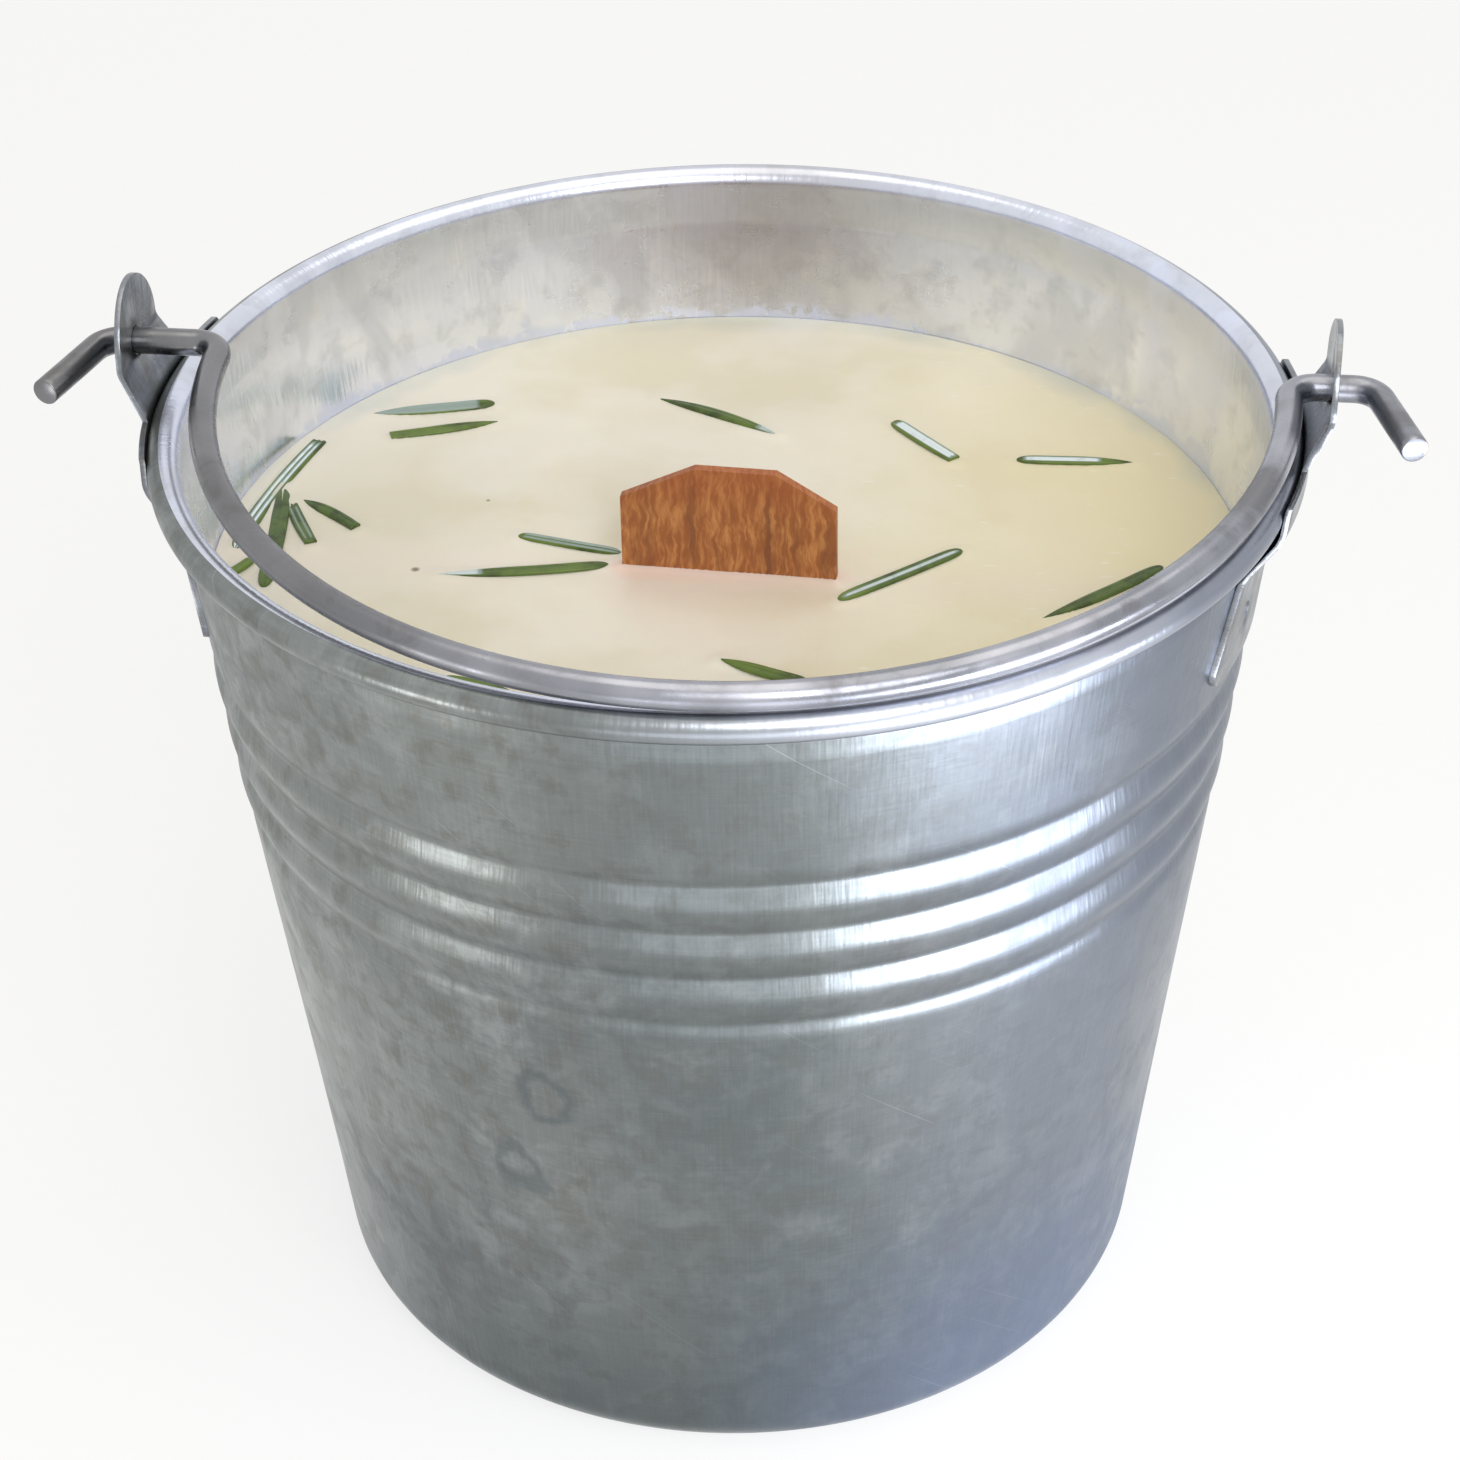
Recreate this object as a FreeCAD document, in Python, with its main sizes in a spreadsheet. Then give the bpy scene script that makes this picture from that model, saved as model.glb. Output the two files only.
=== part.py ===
"""A galvanised bucket candle: drawn bucket, two ears, wire bail, wax, wooden wick, rosemary.

Millimetres, +Z up. The origin is on the resting plane, under the middle of the bucket.
The hinge line of the bail runs along X, and the bail lies forward, on the -Y side of the rim.
"""
import FreeCAD, Part
import math
import os
import Sketcher

doc = FreeCAD.newDocument("candle_bucket")
sheet = doc.addObject("Spreadsheet::Sheet", "Sizes")

# A sketch's own axes, by the distance that is nothing on them, and its origin
ZERO_AXES = {"DistanceX": -2, "DistanceY": -1}
ROOT_POINT = (ZERO_AXES["DistanceY"], 1)

WHOLE_TURN = 360
MITRE = math.tan(math.radians(45) / 2)


class Size:
    """A number that also knows the sheet expression it comes from."""

    def __init__(self, value, text):
        self.value = float(value)
        self.text = text

    def joined(self, sign, other, value):
        return Size(value, "(%s %s %s)" % (self.text, sign, other.text))

    def __add__(self, other):
        other = as_size(other)
        return self.joined("+", other, self.value + other.value)

    def __sub__(self, other):
        other = as_size(other)
        return self.joined("-", other, self.value - other.value)

    def __mul__(self, other):
        other = as_size(other)
        return self.joined("*", other, self.value * other.value)

    def __truediv__(self, other):
        other = as_size(other)
        return self.joined("/", other, self.value / other.value)

    def __radd__(self, other):
        return as_size(other) + self

    def __rsub__(self, other):
        return as_size(other) - self

    def __rmul__(self, other):
        return as_size(other) * self

    def __neg__(self):
        return as_size(-1) * self


def as_size(number):
    if isinstance(number, Size):
        return number
    return Size(number, "%s" % number)


def sine(angle):
    return Size(math.sin(math.radians(angle.value)), "sin(%s)" % angle.text)


def cosine(angle):
    return Size(math.cos(math.radians(angle.value)), "cos(%s)" % angle.text)


def arcsine(ratio):
    return Size(math.degrees(math.asin(ratio.value)), "asin(%s) / 1deg" % ratio.text)


def square_root(size):
    return Size(math.sqrt(size.value), "sqrt(%s)" % size.text)


aliases = []


def same(one, other):
    """Equal within a ten-thousandth of a millimetre or a degree."""
    return abs(one - other) < 1e-4


def put(alias, content, meaning=""):
    """Write one named row of the sheet and give it back as a Size."""
    aliases.append(alias)
    row = len(aliases)
    if isinstance(content, Size):
        cell_text = "=" + content.text.replace("Sizes.", "")
        value = content.value
    else:
        cell_text = "%s" % content
        value = content
    sheet.set("A%d" % row, alias)
    sheet.set("B%d" % row, cell_text)
    sheet.set("C%d" % row, meaning)
    sheet.setAlias("B%d" % row, alias)
    return Size(value, "Sizes." + alias)


# Bucket shell
rim_height = 90.8  # middle of the rolled rim above the resting plane
base_radius = 40.2  # outside of the wall, carried down to the resting plane
top_radius = 50.6  # outside of the wall, carried up to the rim's middle
sheet_gauge = 0.5  # thickness of the galvanised sheet
corner_radius = 4.0  # outside radius between wall and base
rest_ring = 4.1  # width of the flat ring on which the bucket rests
floor_rise = 1.5  # height of the raised middle above that ring
neck_height = 4.2  # upright band between the wall's crease and the rim
bead_radius = 1.5  # outside radius of the rolled rim's section
curl_past_side = 120  # degrees the curl runs on below its outermost point
ring_pitch = 5.3  # height of each pressed ring
ring_depth = 0.6  # how far each pressed ring stands out from its valleys
ring_sink = 0.35  # how far the valleys lie inside the wall's own line
ring_lead = 1.5  # height over which the wall runs into the first and the last valley
rings_drop = 18.1  # top of the highest pressed ring below the rim's middle
RING_COUNT = 3

# Wax, wick and the clip that holds the wick
wax_drop = 15.0  # flat top of the wax below the rim's middle
cast_gap = 0.05  # film between cast wax and what it was poured against
meniscus_height = 0.5  # rise of the wax where it meets the wall
meniscus_width = 1.2  # width of that rise
wick_across = 0.6  # middle of the wick along the hinge line
wick_forward = 3.0  # middle of the wick in front of the hinge line
wick_turn = -3.0  # degrees the wick is turned about the upright
wick_width = 20.2  # width of the wooden wick
wick_thickness = 1.0  # thickness of the wooden wick
wick_shoulder = 7.9  # height of the wick's corners above the wax
wick_peak = 11.3  # height of the wick's flat top above the wax
wick_top_left = 7.0  # left end of the flat top from the wick's left edge
wick_top_right = 5.6  # right end of the flat top from the right edge
pad_radius = 10.5  # radius of the adhesive pad under the clip
pad_thickness = 0.3  # thickness of the adhesive pad
clip_length = 18.0  # length of the clip's folded strip
clip_depth = 11.0  # depth of the clip's foot
clip_gauge = 0.4  # thickness of the clip's tinplate
clip_jaw_height = 7.0  # height of the two jaws above the foot
grip_gap = 0.02  # film between wick and jaw

# Ears
ear_gauge = 0.5  # thickness of an ear
seat_gap = 0.05  # film between an ear and the bucket it is welded to
hinge_rise = 5.6  # hinge line above the rim's middle
ear_step = 2.08  # how far an ear's upright head stands out from where it laps the rim
ear_round = 6.2  # radius of the ear's round head about the hinge line
ear_foot_drop = 14.7  # bottom edge of an ear below the rim's middle
ear_foot_half = 19.9  # half the width of the ear's foot at its widest
ear_waist_half = 17.6  # half the width of the ear's foot under the rim
ear_cap_half = 14.0  # half the width of the foot where it laps the rim
ear_neck_half = 7.2  # half the width of the head where it leaves the foot
ear_cap_rise = 1.0  # top edge of the foot above the rim's middle
ear_lap_drop = 1.4  # where the ear reaches the rim's outermost line
ear_joggle_drop = 4.6  # where the ear leaves the wall below the rim
ear_bend = 2.0  # inside radius of the ear's bends
ear_straight_drop = 0.4  # where an ear turns upright below the hinge line
ear_sweep = 60  # degrees of ring that an ear is trimmed from
weld_across = 14.8  # middle of each spot weld from the ear's middle
weld_drop = 9.5  # middle of each spot weld below the rim's middle
weld_radius = 1.4  # radius of a spot weld's dimple
weld_sink = 0.15  # depth of a spot weld's dimple

# Bail
wire_radius = 1.25  # radius of the bail's wire
running_gap = 0.1  # clearance round the wire in an ear's hole
bow_inset = 2.44  # how much less the bow's radius is than that of the rim's middle
bow_shift = 1.7  # how far the bow sits to one side of its ends
bail_slide = 0.5  # how far the bail has slid along its hinge line
inner_bend = 2.5  # radius of the bend between bow and cross piece
hook_offset = 0.85  # from an ear's outside face to where the hook begins
hook_bend = 2.6  # radius of the hook's bend
hook_turn = 72  # degrees the hook is bent forward
hook_length = 8.3  # straight end of the hook
rest_gap = 0.3  # gap between the lying bail and the rim

# Rosemary leaves
leaf_height = 0.7  # thickness of a leaf lying on the wax
leaf_end_half = 0.3  # half the width of a leaf's blunt ends
leaf_edge = 0.25  # radius of a leaf's rolled upper edges
left_bearing = 175  # degrees from +X to the wall point that a group of leaves lies by
left_back_bearing = 142
back_bearing = 97
back_right_bearing = 55
right_back_bearing = 33
right_bearing = -5
front_bearing = -74
left_front_bearing = -129

# Every length and angle named above becomes a row of the sheet, and is used from here on as a Size
for alias, number in list(globals().items()):
    if alias.islower() and isinstance(number, (int, float)):
        globals()[alias] = put(alias, number)

# Sizes worked out from those above
wall_run = top_radius - base_radius
wall_slant = put("wall_slant", square_root(wall_run * wall_run + rim_height * rim_height),
                 "length of the wall's slope")
wall_lean = put("wall_lean", wall_run / wall_slant, "sine of the wall's lean")
wall_stand = put("wall_stand", rim_height / wall_slant, "cosine of the wall's lean")
corner_middle = put("corner_middle",
                    base_radius - corner_radius * (1 - wall_lean) / wall_stand,
                    "radius at which the base's corner bend is centred")
floor_radius = put("floor_radius", corner_middle - rest_ring - floor_rise,
                   "raised middle of the base")
crease_height = put("crease_height", rim_height - neck_height, "height of the wall's crease")
neck_outside = put("neck_outside", base_radius + crease_height * wall_run / rim_height,
                   "outside radius of the neck")
neck_inside = put("neck_inside", neck_outside - sheet_gauge * wall_stand,
                  "inside radius of the neck")
bead_middle = put("bead_middle", neck_inside + bead_radius, "radius of the rolled rim's middle")
floor_top = put("floor_top", floor_rise + sheet_gauge, "upper face of the raised floor")
wax_level = put("wax_level", rim_height - wax_drop, "height of the wax's flat top")
clip_seat = put("clip_seat", floor_top + pad_thickness, "underside of the clip's foot")
wick_seat = put("wick_seat", clip_seat + clip_gauge, "lower end of the wick")
wick_corner_height = put("wick_corner_height", wax_level + wick_shoulder - wick_seat,
                         "height of the wick's corners above its lower end")
wick_top_height = put("wick_top_height", wax_level + wick_peak - wick_seat,
                      "height of the wick's flat top above its lower end")
hinge_height = put("hinge_height", rim_height + hinge_rise, "height of the hinge line")
lap_radius = put("lap_radius", bead_middle + bead_radius + seat_gap,
                 "inside face of an ear beside the rolled rim")
ear_reach = put("ear_reach", lap_radius + ear_step,
                "inside face of the upright part of an ear, from the middle")
ear_bend_height = put("ear_bend_height", hinge_height - ear_straight_drop,
                      "height at which an ear's lean ends")
cross_half = put("cross_half", ear_reach + ear_gauge + hook_offset,
                 "where a cross piece ends and its hook begins")
bow_radius = put("bow_radius", bead_middle - bow_inset, "radius of the bow, along the wire's middle")
bow_reach = put("bow_reach", inner_bend + bow_radius, "hinge line to the middle of the bow's wire")
rest_drop = put("rest_drop", hinge_rise - bead_radius - wire_radius - rest_gap,
                "how far the bow's front hangs below the hinge line")
rest_tilt = put("rest_tilt", arcsine(rest_drop / bow_reach), "degrees the lying bail is tipped")
weld_height = put("weld_height", rim_height - weld_drop, "height of the spot welds")
weld_circle = put("weld_circle",
                  base_radius + weld_height * wall_run / rim_height + seat_gap + ear_gauge,
                  "radius at which the spot welds are")
weld_angle = put("weld_angle", arcsine(weld_across / weld_circle),
                 "degrees from an ear's middle to its spot welds")
wall_reach = put("wall_reach", base_radius + wax_level * wall_run / rim_height - sheet_gauge / wall_stand,
                 "inside radius of the wall at the wax's flat top")


def at_wall(bearing):
    """The point where the wax's flat top would meet the inside of the wall, at one bearing."""
    return wall_reach * cosine(bearing), wall_reach * sine(bearing)


# Each leaf's middle is given from a point of the wall or from an end of the wick
wick_half_across = wick_width / 2 * cosine(wick_turn)
wick_half_back = wick_width / 2 * sine(wick_turn)
wick_left = (wick_across - wick_half_across, -wick_forward - wick_half_back)
wick_right = (wick_across + wick_half_across, wick_half_back - wick_forward)
LEAF_SIZES = ("across", "back", "length", "turn", "width", "bow")
LEAF_ROWS = (
    (at_wall(left_back_bearing), 5.32, -3.68, 12.4, 14.6, 1.5, 0.2),
    (at_wall(left_back_bearing), 7.12, -7.78, 11.0, 21.3, 1.3, 0.2),
    (at_wall(back_bearing), 1.80, -21.12, 14.0, -27.3, 1.3, -0.3),
    (at_wall(back_right_bearing), -10.95, -15.83, 9.7, -47.5, 1.5, 0.1),
    (at_wall(right_back_bearing), -8.77, -5.35, 11.4, 3.0, 1.2, 0.1),
    (wick_left, -5.61, 3.27, 10.5, -13.0, 1.0, 0.1),
    (wick_left, -9.31, -1.63, 16.2, 11.1, 1.3, 0.4),
    (wick_right, 5.81, 1.63, 14.7, 42.6, 1.5, 0.1),
    (at_wall(right_bearing), -12.99, 0.72, 15.1, 43.3, 1.5, 0.3),
    (at_wall(front_bearing), -7.73, 27.00, 8.9, -22.3, 1.5, 0.2),
    (at_wall(left_bearing), 9.09, 0.28, 7.9, -37.2, 1.3, -0.2),
    (at_wall(left_bearing), 6.89, -1.92, 7.5, -63.6, 1.3, 0.1),
    (at_wall(left_bearing), 3.52, 3.58, 21.4, -99.9, 1.0, 1.25),
    (at_wall(left_bearing), 4.79, -4.42, 18.4, -83.4, 1.5, 0.3),
    (at_wall(left_bearing), 2.89, -10.22, 3.0, 61.9, 1.1, 0.1),
    (at_wall(left_front_bearing), 10.85, 13.70, 6.5, -17.0, 1.2, 0.1),
)
leaves = []
for leaf_row in LEAF_ROWS:
    leaf_name = "rosemary_leaf_%02d" % (len(leaves) + 1)
    leaf = {"name": leaf_name, "from": leaf_row[0]}
    for size_name, amount in zip(LEAF_SIZES, leaf_row[1:]):
        leaf[size_name] = put(leaf_name + "_" + size_name, amount, "%s of this leaf" % size_name)
    leaves.append(leaf)


def wall_radius(height):
    """Outside radius of the plain wall at a height."""
    return base_radius + height * wall_run / rim_height


def piece(name):
    """A body of its own, labelled with the node's name."""
    body = doc.addObject("PartDesign::Body", name)
    body.Label = name
    return body


def sketch_on(body, role, name):
    """A sketch on one of the body's own origin planes."""
    sketch = body.newObject("Sketcher::SketchObject", name)
    planes = [feature for feature in body.Origin.OriginFeatures if feature.Role == role]
    sketch.AttachmentSupport = [(planes[0], "")]
    sketch.MapMode = "FlatFace"
    return sketch


def bind(target, path, size):
    """Give a property its number now and its sheet expression for later."""
    target.setExpression(path, as_size(size).text)


def place(target, across=0, forward=0, height=0):
    """Put a body at a point given from the sheet."""
    bind(target, "Placement.Base.x", across)
    bind(target, "Placement.Base.y", forward)
    bind(target, "Placement.Base.z", height)


def hold(sketch, kind, *details):
    """Add a dimension whose last detail is a Size, bound to the sheet."""
    size = as_size(details[-1])
    where = details[:-1]
    if size.text == "0":
        sketch.addConstraint(Sketcher.Constraint("PointOnObject", where[-2], where[-1], ZERO_AXES[kind]))
        return
    index = sketch.addConstraint(Sketcher.Constraint(kind, *where, size.value))
    sketch.setExpression("Constraints[%d]" % index, size.text)


def arc_edge(start, end, radius, side):
    """The short arc between two points; side is 1 for a left turn and -1 for a right turn."""
    span_x = end[0] - start[0]
    span_y = end[1] - start[1]
    span = math.hypot(span_x, span_y)
    rise = math.sqrt(max(radius * radius - span * span / 4, 0))
    middle_x = (start[0] + end[0]) / 2 - side * rise * span_y / span
    middle_y = (start[1] + end[1]) / 2 + side * rise * span_x / span
    middle = FreeCAD.Vector(middle_x, middle_y, 0)
    circle = Part.Circle(middle, FreeCAD.Vector(0, 0, 1), radius)
    first, last = (start, end) if side > 0 else (end, start)
    first_angle = math.atan2(first[1] - middle_y, first[0] - middle_x)
    last_angle = math.atan2(last[1] - middle_y, last[0] - middle_x)
    if last_angle < first_angle:
        last_angle += 2 * math.pi
    return Part.ArcOfCircle(circle, first_angle, last_angle)


def draw(sketch, corners, closed=True):
    """Draw a chain of straight lines and arcs through corners and hold every one of them.

    A corner is (x, y), or (x, y, radius, side) where the edge that follows it is an arc.
    """
    edge_count = len(corners) if closed else len(corners) - 1
    ends = []
    for number in range(edge_count):
        corner = corners[number]
        following = corners[(number + 1) % len(corners)]
        start = (as_size(corner[0]).value, as_size(corner[1]).value)
        end = (as_size(following[0]).value, as_size(following[1]).value)
        if len(corner) == 2:
            line = Part.LineSegment(FreeCAD.Vector(*start, 0), FreeCAD.Vector(*end, 0))
            edge = sketch.addGeometry(line)
            ends.append((edge, 1, 2))
        else:
            radius, side = corner[2:]
            edge = sketch.addGeometry(arc_edge(start, end, as_size(radius).value, side))
            ends.append((edge, 1, 2) if side > 0 else (edge, 2, 1))
            hold(sketch, "Radius", edge, radius)
    for number in range(edge_count):
        edge, first, last = ends[number]
        hold(sketch, "DistanceX", *ROOT_POINT, edge, first, corners[number][0])
        hold(sketch, "DistanceY", *ROOT_POINT, edge, first, corners[number][1])
        if number > 0:
            before = ends[number - 1]
            joint = Sketcher.Constraint("Coincident", before[0], before[2], edge, first)
            sketch.addConstraint(joint)
    edge, first, last = ends[-1]
    if closed:
        joint = Sketcher.Constraint("Coincident", edge, last, ends[0][0], ends[0][1])
        sketch.addConstraint(joint)
    else:
        hold(sketch, "DistanceX", *ROOT_POINT, edge, last, corners[-1][0])
        hold(sketch, "DistanceY", *ROOT_POINT, edge, last, corners[-1][1])


def draw_circle(sketch, across, up, radius):
    middle = FreeCAD.Vector(as_size(across).value, as_size(up).value, 0)
    circle = Part.Circle(middle, FreeCAD.Vector(0, 0, 1), as_size(radius).value)
    edge = sketch.addGeometry(circle)
    hold(sketch, "DistanceX", *ROOT_POINT, edge, 3, across)
    hold(sketch, "DistanceY", *ROOT_POINT, edge, 3, up)
    hold(sketch, "Radius", edge, radius)


def rectangle(low_x, low_y, high_x, high_y):
    return [(low_x, low_y), (high_x, low_y), (high_x, high_y), (low_x, high_y)]


def revolved(body, sketch, name):
    """A full turn of the sketch about the upright axis."""
    feature = body.newObject("PartDesign::Revolution", name)
    feature.Profile = sketch
    feature.ReferenceAxis = (sketch, ["V_Axis"])
    feature.Angle = WHOLE_TURN
    return feature


def padded(body, sketch, name, length, symmetric=False):
    feature = body.newObject("PartDesign::Pad", name)
    feature.Profile = sketch
    feature.SideType = "Symmetric" if symmetric else "One side"
    bind(feature, "Length", length)
    return feature


def pocketed(body, sketch, name, reversed_way=False):
    """Cut through everything on one side of the sketch, and prove that it cut."""
    doc.recompute()
    before = body.Shape.Volume
    feature = body.newObject("PartDesign::Pocket", name)
    feature.Profile = sketch
    feature.Type = "ThroughAll"
    feature.Reversed = reversed_way
    doc.recompute()
    if not feature.Shape.Volume < before:
        raise ValueError("%s cuts nothing" % name)
    return feature


def wall_face(inset):
    """Corners of a face that follows the wall, inset from its outside, from base to crease.

    It starts where the base turns into the corner bend. The pressed rings are arcs that
    bulge outwards, one above the other, from valleys a little inside the wall's line.
    """
    bend = corner_radius - inset
    corners = [
        (corner_middle, corner_radius - bend, bend, 1),
        (corner_middle + bend * wall_stand, corner_radius - bend * wall_lean),
    ]
    shift_in = inset * wall_stand
    shift_up = inset * wall_lean
    chord = ring_pitch / wall_stand
    bulge = chord * chord / (8 * ring_depth) + ring_depth / 2
    lowest = rim_height - rings_drop - ring_pitch * RING_COUNT
    height = lowest - ring_lead
    corners.append((wall_radius(height) - shift_in, height + shift_up))
    for number in range(RING_COUNT):
        height = lowest + ring_pitch * number
        corners.append((wall_radius(height) - ring_sink - shift_in, height + shift_up, bulge, 1))
    height = rim_height - rings_drop
    corners.append((wall_radius(height) - ring_sink - shift_in, height + shift_up))
    height = height + ring_lead
    corners.append((wall_radius(height) - shift_in, height + shift_up))
    return corners


def build_bucket():
    """The drawn shell: dished base, leaning wall with pressed rings, neck and rolled rim."""
    body = piece("bucket_body")
    sketch = sketch_on(body, "XZ_Plane", "shell_section")
    step = sheet_gauge * MITRE
    curl_inside = bead_radius - sheet_gauge
    end_across = cosine(curl_past_side)
    end_down = sine(curl_past_side)
    corners = [(0, floor_rise), (floor_radius, floor_rise), (floor_radius + floor_rise, 0)]
    corners += wall_face(as_size(0))
    corners += [
        (neck_outside, crease_height),
        (neck_inside + sheet_gauge, rim_height, curl_inside, -1),
        (bead_middle, rim_height + curl_inside, curl_inside, -1),
        (bead_middle + curl_inside, rim_height, curl_inside, -1),
        (bead_middle + curl_inside * end_across, rim_height - curl_inside * end_down),
        (bead_middle + bead_radius * end_across, rim_height - bead_radius * end_down,
         bead_radius, 1),
        (bead_middle + bead_radius, rim_height, bead_radius, 1),
        (bead_middle, rim_height + bead_radius, bead_radius, 1),
        (neck_inside, rim_height),
        (neck_inside, crease_height + sheet_gauge * wall_lean),
    ]
    inner = wall_face(sheet_gauge)
    radii = [corner[2:] for corner in inner]
    back_down = []
    for number in reversed(range(len(inner))):
        arc = radii[number - 1] if number else ()
        turned = (arc[0], -1) if arc else ()
        back_down.append(inner[number][:2] + turned)
    corners += back_down
    corners += [
        (floor_radius + floor_rise + step, sheet_gauge),
        (floor_radius + step, floor_top),
        (0, floor_top),
    ]
    draw(sketch, corners)
    revolved(body, sketch, "drawn_shell")
    return body


def build_wax():
    """The poured wax: it fills the shell up to its level and climbs a little at the wall."""
    body = piece("wax_fill")
    sketch = sketch_on(body, "XZ_Plane", "wax_section")
    inset = sheet_gauge + cast_gap
    step = sheet_gauge * MITRE
    climb = meniscus_width * meniscus_width + meniscus_height * meniscus_height
    climb_radius = climb / (2 * meniscus_height)
    edge_height = wax_level + meniscus_height
    edge_radius = wall_radius(edge_height) - inset / wall_stand
    corners = [
        (0, floor_top),
        (floor_radius + step + cast_gap, floor_top),
        (floor_radius + floor_rise + step, inset),
    ]
    corners += wall_face(inset)
    corners += [
        (edge_radius, edge_height, climb_radius, -1),
        (edge_radius - meniscus_width, wax_level),
        (0, wax_level),
    ]
    draw(sketch, corners)
    revolved(body, sketch, "cast_block")
    cuts = (
        ("wick_slot", wick_width, wick_thickness + 2 * cast_gap, wick_seat, None),
        ("jaw_slot", clip_length + 2 * cast_gap,
         wick_thickness + 2 * (clip_gauge + grip_gap + cast_gap), wick_seat, clip_jaw_height + cast_gap),
        ("foot_recess", clip_length + 2 * cast_gap, clip_depth + 2 * cast_gap, clip_seat,
         clip_gauge + cast_gap),
    )
    for name, length, depth, height, tall in cuts:
        cut_sketch = sketch_on(body, "XY_Plane", name + "_outline")
        half_length = length / 2 if name != "wick_slot" else length / 2 + cast_gap
        draw(cut_sketch, rectangle(-half_length, -depth / 2, half_length, depth / 2))
        bind(cut_sketch, "AttachmentOffset.Base.x", wick_across)
        bind(cut_sketch, "AttachmentOffset.Base.y", -wick_forward)
        bind(cut_sketch, "AttachmentOffset.Base.z", height)
        bind(cut_sketch, "AttachmentOffset.Rotation.Angle", wick_turn)
        pocket = pocketed(body, cut_sketch, name, reversed_way=True)
        if tall is not None:
            pocket.Type = "Length"
            bind(pocket, "Length", tall)
    pad_sketch = sketch_on(body, "XY_Plane", "pad_recess_outline")
    draw_circle(pad_sketch, wick_across, -wick_forward, pad_radius + cast_gap)
    bind(pad_sketch, "AttachmentOffset.Base.z", floor_top)
    pocket = pocketed(body, pad_sketch, "pad_recess", reversed_way=True)
    pocket.Type = "Length"
    bind(pocket, "Length", pad_thickness + cast_gap)
    return body


def stand_on_wick_line(body, height):
    """Put a piece of the wick's assembly on the wick's middle, turned with the wick."""
    place(body, wick_across, -wick_forward, height)
    bind(body, "Placement.Rotation.Angle", wick_turn)


def build_wick():
    """The wooden wick: a thin veneer strip with its two top corners cut off."""
    body = piece("wooden_wick")
    sketch = sketch_on(body, "XZ_Plane", "strip_outline")
    half = wick_width / 2
    draw(sketch, [
        (-half, 0),
        (half, 0),
        (half, wick_corner_height),
        (half - wick_top_right, wick_top_height),
        (wick_top_left - half, wick_top_height),
        (-half, wick_corner_height),
    ])
    padded(body, sketch, "veneer_strip", wick_thickness, symmetric=True)
    stand_on_wick_line(body, wick_seat)
    return body


def build_clip():
    """The folded tin clip: a flat foot with two upright jaws that grip the wick."""
    body = piece("wick_clip")
    half_length = clip_length / 2
    foot = sketch_on(body, "XY_Plane", "foot_outline")
    draw(foot, rectangle(-half_length, -clip_depth / 2, half_length, clip_depth / 2))
    padded(body, foot, "foot", clip_gauge)
    near = wick_thickness / 2 + grip_gap
    far = near + clip_gauge
    jaws = sketch_on(body, "XY_Plane", "jaws_outline")
    draw(jaws, rectangle(-half_length, near, half_length, far))
    draw(jaws, rectangle(-half_length, -far, half_length, -near))
    padded(body, jaws, "jaws", clip_gauge + clip_jaw_height)
    stand_on_wick_line(body, clip_seat)
    return body


def build_pad():
    """The round adhesive pad that holds the clip on the floor."""
    body = piece("adhesive_pad")
    sketch = sketch_on(body, "XY_Plane", "pad_outline")
    draw_circle(sketch, 0, 0, pad_radius)
    padded(body, sketch, "foam_disc", pad_thickness)
    place(body, wick_across, -wick_forward, floor_top)
    return body


def rounded(body, edges, name, radius):
    base = body.Tip
    fillet = body.newObject("PartDesign::Fillet", name)
    fillet.Base = (base, edges)
    bind(fillet, "Radius", radius)
    doc.recompute()
    return fillet


def circles_at(shape, radius, height):
    """Names of the edges that run round the upright axis at one radius and height."""
    names = []
    for number, edge in enumerate(shape.Edges, start=1):
        curve = edge.Curve
        if not isinstance(curve, Part.Circle):
            continue
        if same(curve.Radius, radius.value) and same(curve.Center.z, height.value):
            names.append("Edge%d" % number)
    return names


def dimple_ear(body, name, side):
    """Press one spot weld's round dimple into the outside of the foot."""
    bottom_radius = weld_circle - weld_sink * wall_stand
    bottom_height = weld_height + weld_sink * wall_lean
    bottom_back = weld_across * bottom_radius / weld_circle
    bottom_out = square_root(bottom_radius * bottom_radius - bottom_back * bottom_back)
    sketch = sketch_on(body, "YZ_Plane", name + "_outline")
    draw_circle(sketch, 0, 0, weld_radius)
    bind(sketch, "AttachmentOffset.Base.x", side * bottom_back)
    bind(sketch, "AttachmentOffset.Base.y", bottom_height)
    bind(sketch, "AttachmentOffset.Base.z", bottom_out)
    axis = FreeCAD.Vector(0, side, 0)
    sketch.AttachmentOffset.Rotation = FreeCAD.Rotation(axis, weld_angle.value)
    bind(sketch, "AttachmentOffset.Rotation.Angle", weld_angle)
    pocketed(body, sketch, name, reversed_way=True)


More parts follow.
